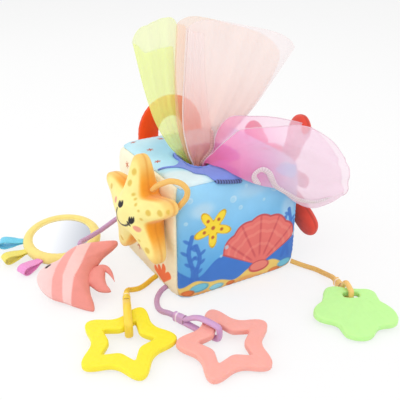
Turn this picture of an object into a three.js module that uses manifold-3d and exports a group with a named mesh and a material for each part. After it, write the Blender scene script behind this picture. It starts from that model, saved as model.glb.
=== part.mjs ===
// A soft activity cube for babies: a padded fabric box with sheer scarves that pull out of its top,
// and plush and silicone toys tied to it by short cords.
// Millimetres, +Z up. The origin is the centre of the box's underside and the front panel faces -Y.

import * as THREE from 'three';
import { mergeVertices } from 'three/addons/utils/BufferGeometryUtils.js';
import Module from 'manifold-3d';

const wasm = await Module();
wasm.setup();

// Box
const boxWidth = 130;
const boxDepth = 130;
const boxHeight = 115;
const seamHeight = 1;
const edgeSharpness = 10;
const panelPadding = 8;
const sewnGap = 0.3;
const liningThickness = 1.2;
const slotCentre = [-8, -14];
const slotLength = 60;
const slotWidth = 52;
const slotCorner = 22;
const cuffThickness = 2;
const cuffStand = 1.5;

// Scarves
const scarfThickness = 0.8;
const scarfPitch = 6;
const frontScarfInset = 8;
const neckHalfWidth = 9;
const neckFold = 0.6;

// Carry handle
const handleWidth = 76;
const handleRise = 40;
const handleBand = 23;
const handleThickness = 13;

// Starfish
const starfishReach = 52;
const starfishBodyRadius = 26.5;
const starfishBodyDepth = 30;
const starfishArmWidth = 25;
const starfishArmFlatness = 0.86;
const starfishStandoff = 20.3;
const starfishFrontInset = 34.5;
const starfishHeight = 87.4;
const starfishYaw = 8.6;
const starfishPitch = 5.1;
const starfishRoll = 2.6;

// Fish
const fishCentre = [-155.1, 3];
const fishLean = 27;
const fishRoll = 3.2;
const fishLength = 57;
const fishBodyHeight = 44;
const fishFlatness = 0.56;
const finFlatness = 0.5;

// Mirror
const mirrorCentre = [-128, 88];
const mirrorLean = 8;
const mirrorDiameter = 82;
const rimWidth = 11;
const rimThickness = 14;
const mirrorDiscThickness = 3;
const mirrorBackThickness = 1.2;
const mirrorBackOverlap = 0.9;
const tagLength = 25;
const tagWidth = 12;
const tagHeight = 6;
const ribbonThickness = 1;
const tabWidth = 8;

// Teethers
const toyHeading = -29.9;
const teetherLean = 6;
const teetherThickness = 6.5;
const teetherEdgeRound = 2;
const starTipCorner = 50.5;
const starValleyCorner = 27;
const starHoleTip = 24.5;
const starHoleValley = 13.5;
const loopSeat = 11;
const flowerTipCorner = 44.5;
const flowerValleyCorner = 28.5;
const flowerSlotLength = 15;
const flowerSlotWidth = 7.2;
const flowerSlotRadius = 21;
const flowerSlotAngle = 62;

// Cords and the moulded loops at their ends
const cordDiameter = 5;
const loopDiameter = 4.6;
const barrelLength = 14;
const barrelWidth = 6.8;
const barrelHeight = 10;
const loopClearance = 0.85;

// Crab
const crabHeight = 85;
const crabInset = 8;
const crabBodyWidth = 68;
const crabBodyHeight = 54;
const crabBodyDepth = 28;
const crabSink = 4;

const radians = THREE.MathUtils.degToRad;
const swell = 2 ** (1 / edgeSharpness);
const midHeight = seamHeight + boxHeight / 2;
const sideFace = (boxWidth / 2) * swell;
const frontFace = (boxDepth / 2) * swell;
const crownHeight = midHeight + (boxHeight / 2) * swell;
const xAxis = new THREE.Vector3(1, 0, 0);
const yAxis = new THREE.Vector3(0, 1, 0);
const zAxis = new THREE.Vector3(0, 0, 1);

// Solids

function solidOf(geometry) {
  const bare = geometry.clone();
  for (const name of Object.keys(bare.attributes)) {
    if (name !== 'position') bare.deleteAttribute(name);
  }
  const merged = mergeVertices(bare, 1e-4);
  return new wasm.Manifold(new wasm.Mesh({
    numProp: 3,
    vertProperties: new Float32Array(merged.attributes.position.array),
    triVerts: new Uint32Array(merged.index.array),
  }));
}

function geometryOf(solid) {
  const mesh = solid.getMesh();
  const geometry = new THREE.BufferGeometry();
  geometry.setAttribute('position', new THREE.BufferAttribute(new Float32Array(mesh.vertProperties), 3));
  geometry.setIndex(new THREE.BufferAttribute(new Uint32Array(mesh.triVerts), 1));
  geometry.computeVertexNormals();
  return geometry;
}

function cut(geometry, ...cutters) {
  let solid = solidOf(geometry);
  for (const cutter of cutters) solid = solid.subtract(solidOf(cutter));
  return geometryOf(solid);
}

function joined(first, ...others) {
  let solid = solidOf(first);
  for (const other of others) solid = solid.add(solidOf(other));
  return geometryOf(solid);
}

function piece(name, geometry, color, roughness = 0.9) {
  const material = new THREE.MeshStandardMaterial({ color, roughness, metalness: 0 });
  const mesh = new THREE.Mesh(geometry, material);
  mesh.name = name;
  return mesh;
}

// A slab of 2 x 2 x 2 whose every point (u, v, side) is moved to its place.
function mappedSlab(across, up, place) {
  const slab = new THREE.BoxGeometry(2, 2, 2, across, up, 1);
  const position = slab.attributes.position;
  const corner = new THREE.Vector3();
  for (let i = 0; i < position.count; i += 1) {
    corner.fromBufferAttribute(position, i);
    const moved = place(corner.x, corner.y, Math.sign(corner.z));
    position.setXYZ(i, moved.x, moved.y, moved.z);
  }
  slab.computeVertexNormals();
  return slab;
}

// A thin sheet of cloth round a surface that is given as a function of u and v.
function clothSheet(across, up, surface, thickness = scarfThickness) {
  const step = 1e-3;
  return mappedSlab(across, up, (u, v, side) => {
    const along = surface(u + step, v).sub(surface(u - step, v));
    const climb = surface(u, v + step).sub(surface(u, v - step));
    const normal = along.cross(climb).normalize();
    return surface(u, v).addScaledVector(normal, side * thickness / 2);
  });
}

// A stuffed limb: a smooth round profile of [radius, height] pairs, pressed flat along Z.
function softLimb(profile, flatness, sides = 10) {
  const outline = new THREE.SplineCurve(profile.map(([radius, height]) => new THREE.Vector2(radius, height)));
  const points = outline.getPoints(profile.length + 2);
  points.forEach((point) => point.setX(Math.max(point.x, 0)));
  const limb = new THREE.LatheGeometry(points, sides);
  return limb.scale(1, 1, flatness);
}

// A stuffed ball, wider than it is deep.
function softBall(width, height, depth) {
  const ball = new THREE.SphereGeometry(0.5, 16, 10);
  return ball.rotateX(Math.PI / 2).scale(width, height, depth);
}

// A limb from one point of a plane to another, with its flat side in that plane.
function limbBetween(start, end, profile, flatness) {
  const reach = Math.hypot(end[0] - start[0], end[1] - start[1]);
  const turn = Math.atan2(end[1] - start[1], end[0] - start[0]) - Math.PI / 2;
  const scaled = profile.map(([radius, share]) => [radius, share * reach]);
  return softLimb(scaled, flatness).rotateZ(turn).translate(start[0], start[1], 0);
}

// A closed outline through corners [x, y, rounding], each corner rounded off along its sides.
function roundedOutline(corners, path = new THREE.Shape()) {
  const spots = corners.map(([x, y]) => new THREE.Vector2(x, y));
  corners.forEach(([, , rounding], i) => {
    const here = spots[i];
    const before = spots[(i + spots.length - 1) % spots.length];
    const after = spots[(i + 1) % spots.length];
    const entry = before.clone().sub(here).setLength(rounding).add(here);
    const exit = after.clone().sub(here).setLength(rounding).add(here);
    if (i === 0) path.moveTo(entry.x, entry.y);
    else path.lineTo(entry.x, entry.y);
    path.quadraticCurveTo(here.x, here.y, exit.x, exit.y);
  });
  path.closePath();
  return path;
}

function starCorners(tip, valley, tipRounding, valleyRounding) {
  const corners = [];
  for (let i = 0; i < 5; i += 1) {
    const tipAngle = radians(72 * i);
    const valleyAngle = radians(72 * i + 36);
    corners.push([tip * Math.cos(tipAngle), tip * Math.sin(tipAngle), tipRounding]);
    corners.push([valley * Math.cos(valleyAngle), valley * Math.sin(valleyAngle), valleyRounding]);
  }
  return corners;
}

function roundedPlate(outline, thickness, edge) {
  const plate = new THREE.ExtrudeGeometry(outline, {
    depth: thickness - 2 * edge,
    bevelThickness: edge,
    bevelSize: edge,
    bevelOffset: -edge,
    bevelSegments: 2,
    curveSegments: 3,
  });
  return plate.translate(0, 0, edge - thickness / 2);
}

function tubeAlong(points, diameter, stepLength) {
  const curve = new THREE.CatmullRomCurve3(points.map((point) => new THREE.Vector3(...point)));
  const section = new THREE.Shape().absarc(0, 0, diameter / 2, 0, Math.PI * 2);
  return new THREE.ExtrudeGeometry(section, {
    steps: Math.round(curve.getLength() / stepLength),
    extrudePath: curve,
    curveSegments: 4,
  });
}

// A toy that lies on the floor: turned to the heading, leaned back, then spun in its own plane.
function lying(lean, spin) {
  const heading = new THREE.Quaternion().setFromAxisAngle(zAxis, radians(toyHeading));
  const tilt = new THREE.Quaternion().setFromAxisAngle(xAxis, radians(lean));
  const roll = new THREE.Quaternion().setFromAxisAngle(zAxis, radians(spin));
  return heading.multiply(tilt).multiply(roll);
}

function placedGroup(position, quaternion, meshes) {
  const group = new THREE.Group();
  group.position.set(...position);
  group.quaternion.copy(quaternion);
  group.add(...meshes);
  return group;
}

// Box panels: each is a stuffed pad with mitred edges, sewn to its neighbours at the seams

function paddedPanel(acrossSeam, upSeam, outSeam, outLimit = Infinity) {
  const relief = 0.75 * sewnGap;
  const steps = 8;
  return mappedSlab(steps, steps, (u, v, side) => {
    const across = Math.sin(u * Math.PI / 2);
    const up = Math.sin(v * Math.PI / 2);
    if (side < 0) {
      const inset = panelPadding + relief;
      return new THREE.Vector3(across * (acrossSeam - inset), up * (upSeam - inset), outSeam - panelPadding);
    }
    const power = Math.abs(across) ** edgeSharpness + Math.abs(up) ** edgeSharpness + 1;
    const bulge = swell * power ** (-1 / edgeSharpness);
    const out = Math.min(outSeam * bulge, outLimit);
    return new THREE.Vector3(across * bulge * (acrossSeam - relief), up * bulge * (upSeam - relief), out);
  });
}

function panel(name, geometry, across, up, color) {
  const mesh = piece(name, geometry, color);
  const out = across.clone().cross(up);
  const basis = new THREE.Matrix4().makeBasis(across, up, out).setPosition(0, 0, midHeight);
  mesh.applyMatrix4(basis);
  return mesh;
}

function slotOutline(margin) {
  const [x, y] = slotCentre;
  const across = slotLength / 2 - margin;
  const deep = slotWidth / 2 - margin;
  const corners = [[1, 1], [-1, 1], [-1, -1], [1, -1]];
  return corners.map(([side, end]) => [x + side * across, y + end * deep, slotCorner]);
}

function boxShell() {
  const width = boxWidth / 2;
  const depth = boxDepth / 2;
  const height = boxHeight / 2;
  const front = paddedPanel(width, height, depth);
  const side = paddedPanel(depth, height, width);
  const slotPlug = new THREE.ExtrudeGeometry(roundedOutline(slotOutline(0)), {
    depth: boxHeight,
    bevelEnabled: false,
    curveSegments: 6,
  });
  const top = cut(paddedPanel(width, depth, height), slotPlug);
  const base = paddedPanel(width, depth, height, midHeight);
  const minusX = xAxis.clone().negate();
  const minusY = yAxis.clone().negate();
  return [
    panel('front_panel', front, xAxis, zAxis, 0x7fc4f2),
    panel('back_panel', front.clone(), minusX, zAxis, 0xf6eec4),
    panel('left_panel', side, minusY, zAxis, 0xf8efc6),
    panel('right_panel', side.clone(), yAxis, zAxis, 0x9fd8f0),
    panel('top_panel', top, xAxis, yAxis, 0xbfe9f7),
    panel('base_panel', base, xAxis, minusY, 0xa9cfe8),
  ];
}

function innerLining() {
  const inset = panelPadding + sewnGap;
  const width = boxWidth - 2 * inset;
  const depth = boxDepth - 2 * inset;
  const height = boxHeight - 2 * inset;
  const bag = new THREE.BoxGeometry(width, depth, height);
  const hollow = new THREE.BoxGeometry(width - 2 * liningThickness, depth - 2 * liningThickness, height);
  const lining = cut(bag, hollow.translate(0, 0, liningThickness)).translate(0, 0, midHeight);
  return piece('inner_lining', lining, 0xf4f1e6);
}

function slotCuff() {
  const outline = roundedOutline(slotOutline(sewnGap));
  outline.holes.push(roundedOutline(slotOutline(sewnGap + cuffThickness), new THREE.Path()));
  const underside = midHeight + boxHeight / 2 - panelPadding;
  const ring = new THREE.ExtrudeGeometry(outline, {
    depth: crownHeight + cuffStand - underside,
    bevelEnabled: false,
    curveSegments: 6,
  });
  return piece('slot_cuff', ring.translate(0, 0, underside), 0x8ea2ea);
}

// Scarves: gathered in the opening, with straight tails in the box, so that each one pulls straight up

const frontScarfY = slotCentre[1] - slotWidth / 2 + frontScarfInset;
const neckTop = crownHeight + cuffStand + 3;
const tailEnd = seamHeight + panelPadding + liningThickness + 2 * sewnGap;

function edgeCurve(points) {
  return new THREE.CatmullRomCurve3(points.map((point) => new THREE.Vector3(...point)));
}

function gatheredTail(neckX, y, u, share) {
  const z = THREE.MathUtils.lerp(tailEnd, neckTop, share);
  return new THREE.Vector3(neckX + u * neckHalfWidth, y, z);
}

const tailShare = 0.25;

// A scarf that stands up like a fan. Its left and right edges are lists of [x, height over the box].
function standingScarf(name, layer, neckX, left, right, crown, fold, waves, color) {
  const y = frontScarfY + layer * scarfPitch;
  const start = (side) => [neckX + side * neckHalfWidth, y, neckTop];
  const placed = ([x, height]) => [x, y, crownHeight + height];
  const leftEdge = edgeCurve([start(-1), ...left.map(placed)]);
  const rightEdge = edgeCurve([start(1), ...right.map(placed)]);
  const surface = (u, v) => {
    const share = (v + 1) / 2;
    const rise = Math.max(0, (share - tailShare) / (1 - tailShare));
    const grown = THREE.MathUtils.smoothstep(rise, 0, 0.6);
    const ripple = THREE.MathUtils.lerp(neckFold, fold, grown) * Math.sin(waves * Math.PI * u);
    const point = share < tailShare
      ? gatheredTail(neckX, y, u, share / tailShare)
      : leftEdge.getPoint(Math.min(rise, 1)).lerp(rightEdge.getPoint(Math.min(rise, 1)), (u + 1) / 2);
    point.z += crown * (1 - u ** 4) * rise ** 3;
    point.y += ripple;
    return point;
  };
  return piece(name, clothSheet(12, 12, surface), color, 0.95);
}

function standingScarves() {
  const lime = standingScarf('scarf_lime', 3, -24,
    [[-42, 10], [-60.5, 39.5], [-69.5, 67.5], [-80, 116]],
    [[-17, 20], [-24, 50], [-28, 85], [-27, 118]], 10, 1.7, 2.5, 0xeefcab);
  const orange = standingScarf('scarf_orange', 2, -21,
    [[-34.5, 12], [-42.5, 41], [-44, 78], [-41, 121]],
    [[10, 17], [36, 37], [50, 52], [63, 69.5], [69, 92]], 13, 1.7, 2.5, 0xffcfa6);
  const blush = standingScarf('scarf_blush', 1, -19,
    [[-36, 23], [-38.5, 52], [-35.5, 95], [-33, 123]],
    [[6, 16], [36, 39], [62, 68], [84, 94]], 14, 1.8, 3.5, 0xffe3e3);
  return [lime, orange, blush];
}

// The front scarf falls over the box's front right corner.
function drapedScarf() {
  const neckX = -12;
  const y = frontScarfY;
  const drop = -(frontFace + 5);
  const over = (height) => crownHeight + height;
  const upper = edgeCurve([
    [neckX - neckHalfWidth, y, neckTop], [-10, y - 3, over(17)], [8, y - 12, over(30.8)],
    [26, y - 14, over(33)], [60, y - 25, over(31)], [80, y - 28, over(25)], [98, y - 37, over(13)],
    [114, y - 39, over(-6)],
  ]);
  const lower = edgeCurve([
    [neckX + neckHalfWidth, y, neckTop], [-1, y - 17, over(6)], [5, drop + 3, over(2)],
    [18, drop, over(-15)], [39, drop - 1, over(-29)], [59, drop - 1, over(-43)],
    [79, drop - 2, over(-55)], [103, drop, over(-53)], [119, drop, over(-46)],
  ]);
  const bulge = new THREE.Vector3(0, -11, 9);
  const fold = 2;
  const waves = 3;
  const surface = (u, v) => {
    const share = (v + 1) / 2;
    const run = Math.max(0, (share - tailShare) / (1 - tailShare));
    if (share < tailShare) {
      const tail = gatheredTail(neckX, y, u, share / tailShare);
      tail.y += neckFold * Math.sin(waves * Math.PI * u);
      return tail;
    }
    const reach = Math.min(run, 1);
    const point = upper.getPoint(reach).lerp(lower.getPoint(reach), (u + 1) / 2);
    const grown = THREE.MathUtils.smoothstep(run, 0, 0.5);
    point.addScaledVector(bulge, (1 - u * u) * grown);
    point.y += THREE.MathUtils.lerp(neckFold, fold, grown) * Math.sin(waves * Math.PI * u);
    return point;
  };
  return piece('scarf_rose', clothSheet(12, 16, surface), 0xf2a6cf, 0.95);
}

// Carry handle: a padded arch on the back panel's upper edge

function rearHandle() {
  const y = frontFace + sewnGap + handleThickness / 2;
  const foot = midHeight + boxHeight / 2 - handleBand;
  const half = (handleWidth - handleBand) / 2;
  const shoulder = midHeight + boxHeight / 2;
  const rise = handleRise - handleBand / 2;
  const points = [[-half, y, foot]];
  for (let i = 0; i <= 8; i += 1) {
    const angle = Math.PI * (1 - i / 8);
    points.push([half * Math.cos(angle), y, shoulder + rise * Math.sin(angle)]);
  }
  points.push([half, y, foot]);
  const curve = new THREE.CatmullRomCurve3(points.map((point) => new THREE.Vector3(...point)));
  const section = new THREE.Shape().absellipse(0, 0, handleThickness / 2, handleBand / 2, 0, Math.PI * 2);
  const arch = new THREE.ExtrudeGeometry(section, { steps: 20, extrudePath: curve, curveSegments: 6 });
  return piece('rear_handle', arch, 0xf2562a);
}

// Starfish: a body and tapered arms, held in front of the left panel by its cord

function starfish() {
  const yaw = radians(starfishYaw);
  const pitch = radians(starfishPitch);
  const out = new THREE.Vector3(
    -Math.cos(pitch) * Math.cos(yaw), -Math.cos(pitch) * Math.sin(yaw), Math.sin(pitch));
  const right = zAxis.clone().cross(out).normalize();
  const up = out.clone().cross(right);
  const facing = new THREE.Quaternion().setFromRotationMatrix(new THREE.Matrix4().makeBasis(right, up, out));
  const body = softBall(2 * starfishBodyRadius, 2 * starfishBodyRadius, starfishBodyDepth);
  const grown = 2 * (starfishBodyRadius + sewnGap);
  const cutter = softBall(grown, grown, starfishBodyDepth + 2 * sewnGap);
  const half = starfishArmWidth / 2;
  const root = 0.3 * starfishReach;
  const length = starfishReach - root;
  const profile = [
    [0, 0], [0.8 * half, 0.02 * length], [half, 0.22 * length], [0.93 * half, 0.48 * length],
    [0.74 * half, 0.74 * length], [0.46 * half, 0.93 * length], [0, length],
  ];
  const names = ['top', 'rear_upper', 'rear_lower', 'front_lower', 'front_upper'];
  const arms = names.map((name, i) => {
    const arm = softLimb(profile, starfishArmFlatness).translate(0, root, 0);
    arm.rotateZ(radians(starfishRoll + 72 * i));
    return piece(`starfish_arm_${name}`, cut(arm, cutter), 0xffe07a);
  });
  const centre = [-(boxWidth / 2 + starfishStandoff), -(boxDepth / 2 - starfishFrontInset), starfishHeight];
  return placedGroup(centre, facing, [piece('starfish_body', body, 0xffeb8f), ...arms]);
}

// Fish: body, fins and forked tail, lying with its belly on the floor

function fish() {
  const nose = -0.43 * fishLength;
  const half = fishBodyHeight / 2;
  const profile = [
    [0, 0], [0.45 * half, 0.07 * fishLength], [0.8 * half, 0.24 * fishLength], [half, 0.48 * fishLength],
    [0.95 * half, 0.64 * fishLength], [0.66 * half, 0.84 * fishLength], [0.36 * half, 0.96 * fishLength],
    [0, fishLength],
  ];
  const swung = (depth) => softLimb(profile, fishFlatness, 14).scale(1 + depth, 1, 1 + depth)
    .rotateZ(-Math.PI / 2).translate(nose, 4, 0);
  const body = swung(0);
  const cutter = swung(2 * sewnGap / (fishFlatness * fishBodyHeight) + 0.01);
  const fin = [[0, 0], [10, 0.06], [13, 0.28], [11, 0.55], [7, 0.82], [4, 0.95], [0, 1]];
  const smallFin = fin.map(([radius, share]) => [0.8 * radius, share]);
  const tailLobe = [[0, 0], [4, 0.05], [6.5, 0.4], [7.5, 0.7], [4.5, 0.94], [0, 1]];
  const upper = limbBetween([4, 18], [52, 37], fin, finFlatness);
  const lower = limbBetween([-2, -12], [32, -36], smallFin, finFlatness);
  const tail = joined(
    limbBetween([24, 3], [49, 4], tailLobe, finFlatness),
    limbBetween([24, 0], [47, -15], tailLobe, finFlatness),
  );
  const group = placedGroup([...fishCentre, 0], lying(fishLean, fishRoll), [
    piece('fish_body', body, 0xf6a59a),
    piece('fish_upper_fin', cut(upper, cutter), 0xf8b7ad),
    piece('fish_lower_fin', cut(lower, cutter), 0xf8b7ad),
    piece('fish_tail', cut(tail, cutter), 0xf48f86),
  ]);
  group.updateMatrixWorld(true);
  group.position.z = -new THREE.Box3().setFromObject(group, true).min.z;
  return group;
}

// Mirror: a padded rim round a disc, with folded ribbon tags at its left

function mirrorHeight() {
  const lean = radians(mirrorLean);
  return (mirrorDiameter / 2) * Math.sin(lean) + (rimThickness / 2) * Math.cos(lean);
}

function ribbonTag() {
  const half = tagHeight / 2;
  const loop = (inset) => [
    [0, half - inset, 1], [0, inset - half, 1],
    [tagLength - inset, inset - half, half - inset], [tagLength - inset, half - inset, half - inset],
  ];
  const outline = roundedOutline(loop(0));
  const inside = loop(ribbonThickness).map(([x, y, round]) => [Math.max(x, ribbonThickness), y, round]);
  outline.holes.push(roundedOutline(inside, new THREE.Path()));
  const tag = new THREE.ExtrudeGeometry(outline, { depth: tagWidth, bevelEnabled: false, curveSegments: 3 });
  return tag.translate(0, 0, -tagWidth / 2).rotateX(Math.PI / 2);
}

function mirror() {
  const outer = mirrorDiameter / 2;
  const middle = outer - rimWidth / 2;
  const ringProfile = [];
  for (let i = 0; i <= 10; i += 1) {
    const angle = 2 * Math.PI * i / 10;
    ringProfile.push(new THREE.Vector2(
      middle + (rimWidth / 2) * Math.cos(angle), (rimThickness / 2) * Math.sin(angle)));
  }
  const sides = 36;
  const rim = new THREE.LatheGeometry(ringProfile, sides).rotateX(Math.PI / 2);
  const discRadius = outer - rimWidth - sewnGap;
  const disc = new THREE.CylinderGeometry(discRadius, discRadius, mirrorDiscThickness, sides);
  const backGap = 0.3 * rimThickness;
  const backRadius = discRadius + mirrorBackOverlap;
  const back = new THREE.CylinderGeometry(backRadius, backRadius, mirrorBackThickness, sides);
  const meshes = [
    piece('mirror_rim', rim, 0xffe482),
    piece('mirror_disc', disc.rotateX(Math.PI / 2), 0xe6eef2, 0.08),
    piece('mirror_back', back.rotateX(Math.PI / 2).translate(0, 0, -backGap), 0xffd75e),
  ];
  const tags = [['blue', 156, 0x3cbeff], ['yellow', 186, 0xebcd32], ['pink', 218, 0xf06ec8]];
  tags.forEach(([name, angle, color]) => {
    const tag = ribbonTag().translate(outer + sewnGap, 0, 0).rotateZ(radians(angle - toyHeading));
    meshes.push(piece(`ribbon_tag_${name}`, tag, color));
  });
  return placedGroup([...mirrorCentre, mirrorHeight()], lying(mirrorLean, 0), meshes);
}

// Cords: each route is a list of points from the box to its toy

const routes = {
  starfish_cord: [
    [-65.6, -65.6, 99], [-67.5, -68.5, 101], [-66.5, -74, 107], [-64.5, -78, 114], [-64.8, -79, 121],
    [-68.5, -75.5, 126], [-73.5, -67, 126], [-77, -58.5, 121.5], [-79.2, -51, 116.5], [-80.7, -45.4, 111],
  ],
  fish_cord: [
    [-68.1, 60, 36], [-74, 60, 35], [-84, 58.5, 31.5], [-95, 55.5, 28.5], [-106, 51, 27.5], [-115, 45, 28.5],
    [-122, 38, 31], [-126, 31.6, 33.2], [-127.9, 26.4, 33.5],
  ],
  yellow_cord: [
    [-68.4, -21, 5.5], [-74, -21.6, 3.8], [-82, -25.2, 2.7], [-91, -28.4, 2.7], [-98, -29.2, 4],
    [-103.2, -31.2, 6.4], [-106.6, -35.2, 7.8], [-108.4, -39.4, 7.8],
  ],
  purple_cord: [
    [-68.5, -42.5, 5.5], [-74, -43.6, 3.8], [-81, -49.4, 2.7], [-86.4, -58, 2.7], [-89.2, -67, 3],
    [-89.6, -76, 5], [-87.6, -84, 7.6], [-85.2, -89.6, 7.8],
  ],
  orange_cord: [
    [64, -64.2, 5.8], [68.4, -69, 4.2], [74.5, -77, 2.7], [79, -86, 2.7], [80.9, -96, 3.2], [80.3, -105, 5.2],
    [78.4, -112, 7.6], [76.9, -117.6, 7.8],
  ],
};

// The mirror's tab: a ribbon from the rim up to the cord that the fish hangs on.
function mirrorTab() {
  const tie = new THREE.Vector3(...routes.fish_cord.at(-3));
  const toTie = tie.clone().sub(new THREE.Vector3(...mirrorCentre, 0)).setZ(0).normalize();
  const seatRadius = (mirrorDiameter - rimWidth) / 2;
  const seat = new THREE.Vector3(...mirrorCentre, mirrorHeight()).addScaledVector(toTie, seatRadius);
  const away = radians(toyHeading + 90);
  const uphill = seatRadius * (toTie.x * Math.cos(away) + toTie.y * Math.sin(away));
  seat.z += uphill * Math.sin(radians(mirrorLean)) + rimThickness / 2 + 3 * sewnGap;
  const under = tie.clone().setZ(tie.z - cordDiameter / 2 - 3 * sewnGap);
  const bow = seat.clone().lerp(under, 0.45).addScaledVector(toTie, 2).setZ(seat.z + 2.5);
  const path = new THREE.CatmullRomCurve3([seat, bow, under]);
  const across = zAxis.clone().cross(toTie);
  const surface = (u, v) => path.getPoint(THREE.MathUtils.clamp((v + 1) / 2, 0, 1))
    .addScaledVector(across, -u * tabWidth / 2);
  return piece('mirror_tab', clothSheet(1, 5, surface, ribbonThickness), 0xffd75e);
}

function cord(name, color) {
  return piece(name, tubeAlong(routes[name], cordDiameter, 2.2 * cordDiameter), color, 0.55);
}

// Teethers, and the moulded loops that hold them

const teethers = {
  yellow: { centre: [-136.6, -103.2], spin: 47.5, cord: 'yellow_cord', eye: 56.5, climb: 0.5, color: 0xffe832 },
  pink: { centre: [-65.4, -146.8], spin: 78.2, cord: 'purple_cord', eye: 86.2, climb: 0.45, color: 0xffa596 },
  green: {
    centre: [58.5, -166.8], spin: 89, cord: 'orange_cord', eye: flowerSlotAngle, climb: 0.34, color: 0xc8ff9e,
  },
};

const starEyeRadius = starHoleTip - loopSeat;

// Each teether leans on the tip of its longest point.
const starOutline = () => roundedOutline(starCorners(starTipCorner, starValleyCorner, 19, 9));
const starReach = Math.max(...starOutline().getPoints(4).map((point) => point.length()));
const restHeight = starReach * Math.sin(radians(teetherLean)) + teetherThickness / 2;

function starTeether() {
  const outline = starOutline();
  outline.holes.push(roundedOutline(starCorners(starHoleTip, starHoleValley, 3, 4), new THREE.Path()));
  return roundedPlate(outline, teetherThickness, teetherEdgeRound);
}

function flowerTeether(toy) {
  const outline = roundedOutline(starCorners(flowerTipCorner, flowerValleyCorner, 17, 8));
  const half = flowerSlotLength / 2;
  const wide = flowerSlotWidth / 2;
  const turn = radians(flowerSlotAngle - toy.spin);
  const slot = [[-wide, -half], [wide, -half], [wide, half], [-wide, half]].map(([x, y]) => {
    const spot = new THREE.Vector2(x + flowerSlotRadius, y).rotateAround(new THREE.Vector2(), turn);
    return [spot.x, spot.y, wide];
  });
  outline.holes.push(roundedOutline(slot, new THREE.Path()));
  return roundedPlate(outline, teetherThickness, teetherEdgeRound);
}

function teether(name, toy, geometry) {
  const position = [...toy.centre, restHeight];
  const turn = lying(teetherLean, toy.spin - toyHeading);
  return placedGroup(position, turn, [piece(name, geometry, toy.color, 0.5)]);
}

// The middle height of a leaning teether at a point of the floor plan.
function bandHeight(toy, x, y) {
  const away = radians(toyHeading + 90);
  const offset = (x - toy.centre[0]) * Math.cos(away) + (y - toy.centre[1]) * Math.sin(away);
  return restHeight + offset * Math.tan(radians(teetherLean));
}

function teetherLoop(name, toy, radius, color) {
  const route = routes[toy.cord].map((point) => new THREE.Vector3(...point));
  const cordEnd = route.at(-1);
  const heading = cordEnd.clone().sub(route.at(-2)).setZ(0).normalize();
  const eye = new THREE.Vector3(radius, 0, 0).applyAxisAngle(zAxis, radians(toy.eye));
  eye.add(new THREE.Vector3(...toy.centre, 0));
  const barrelStart = cordEnd.clone().addScaledVector(heading, sewnGap);
  const barrelEnd = barrelStart.clone().addScaledVector(heading, barrelLength);
  const run = eye.clone().sub(barrelEnd).setZ(0);
  const reach = run.length();
  run.normalize();
  const half = teetherThickness / 2 + loopClearance + loopDiameter / 2;
  const spread = loopDiameter / 2 + 0.15;
  const at = (distance, height) => {
    const spot = barrelEnd.clone().addScaledVector(run, distance);
    return [spot.x, spot.y, height];
  };
  const band = (distance) => bandHeight(toy, ...at(distance, 0));
  const over = band(reach) + half;
  const under = band(reach) - half;
  const inBarrel = (height) => {
    const spot = barrelEnd.clone().addScaledVector(heading, -0.5 * barrelLength);
    return [spot.x, spot.y, height];
  };
  const bend = 0.8 * loopDiameter;
  const climb = toy.climb * reach;
  const strand = [inBarrel(cordEnd.z + spread), at(0, cordEnd.z + spread)];
  strand.push(at(0.5 * climb, THREE.MathUtils.lerp(cordEnd.z + spread, band(climb) + half, 0.65)));
  strand.push(at(climb, band(climb) + half), at(reach - bend, band(reach - bend) + half));
  strand.push(at(reach - 0.25 * bend, over - 0.25 * bend), at(reach, over - bend));
  strand.push(at(reach, under + bend), at(reach - 0.25 * bend, under + 0.25 * bend));
  strand.push(at(reach - bend, band(reach - bend) - half), at(climb, band(climb) - half), at(0, cordEnd.z - spread));
  strand.push(inBarrel(cordEnd.z - spread));
  const tube = tubeAlong(strand, loopDiameter, 0.8 * loopDiameter);
  const barrel = new THREE.CylinderGeometry(0.5, 0.5, barrelLength, 14).scale(barrelHeight, 1, barrelWidth);
  const across = zAxis.clone().cross(heading);
  const frame = new THREE.Matrix4().makeBasis(zAxis, heading, across);
  const seat = barrelStart.clone().addScaledVector(heading, barrelLength / 2);
  barrel.applyMatrix4(frame.setPosition(seat));
  return piece(name, joined(barrel, tube), color, 0.5);
}

// Crab: a plush sewn flat to the right panel

function crab() {
  const centreOut = crabBodyDepth / 2 - crabSink;
  const back = new THREE.BoxGeometry(4 * crabBodyWidth, 4 * crabBodyHeight, crabBodyDepth);
  back.translate(0, 0, -crabBodyDepth / 2);
  const ball = (extra) => softBall(
    crabBodyWidth + extra, crabBodyHeight + extra, crabBodyDepth + extra).translate(0, 0, centreOut);
  const body = cut(ball(0), back);
  const cutter = ball(2 * sewnGap);
  const claw = [[0, 0], [7, 0.05], [8, 0.28], [9, 0.5], [12, 0.72], [10, 0.9], [0, 1]];
  const leg = [[0, 0], [9, 0.06], [11, 0.4], [11.5, 0.7], [9, 0.92], [0, 1]];
  const stub = leg.map(([radius, share]) => [0.6 * radius, share]);
  const meshes = [piece('crab_body', body, 0xe8483c)];
  for (const [end, side, clawTip] of [['front', -1, [42, 69]], ['rear', 1, [52, 34]]]) {
    const limbs = [
      ['claw', [21, 17], clawTip, claw], ['leg_lower', [25, -15], [62, -52], leg],
      ['leg_upper', [31, 5], [54, 3], stub],
    ];
    for (const [name, from, to, profile] of limbs) {
      const limb = limbBetween([side * from[0], from[1]], [side * to[0], to[1]], profile, 0.8);
      meshes.push(piece(`crab_${name}_${end}`, cut(limb.translate(0, 0, centreOut), cutter, back), 0xe8483c));
    }
  }
  const outward = new THREE.Matrix4().makeBasis(yAxis, zAxis, xAxis);
  const facing = new THREE.Quaternion().setFromRotationMatrix(outward);
  return placedGroup([sideFace + sewnGap, -crabInset, crabHeight], facing, meshes);
}

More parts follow.
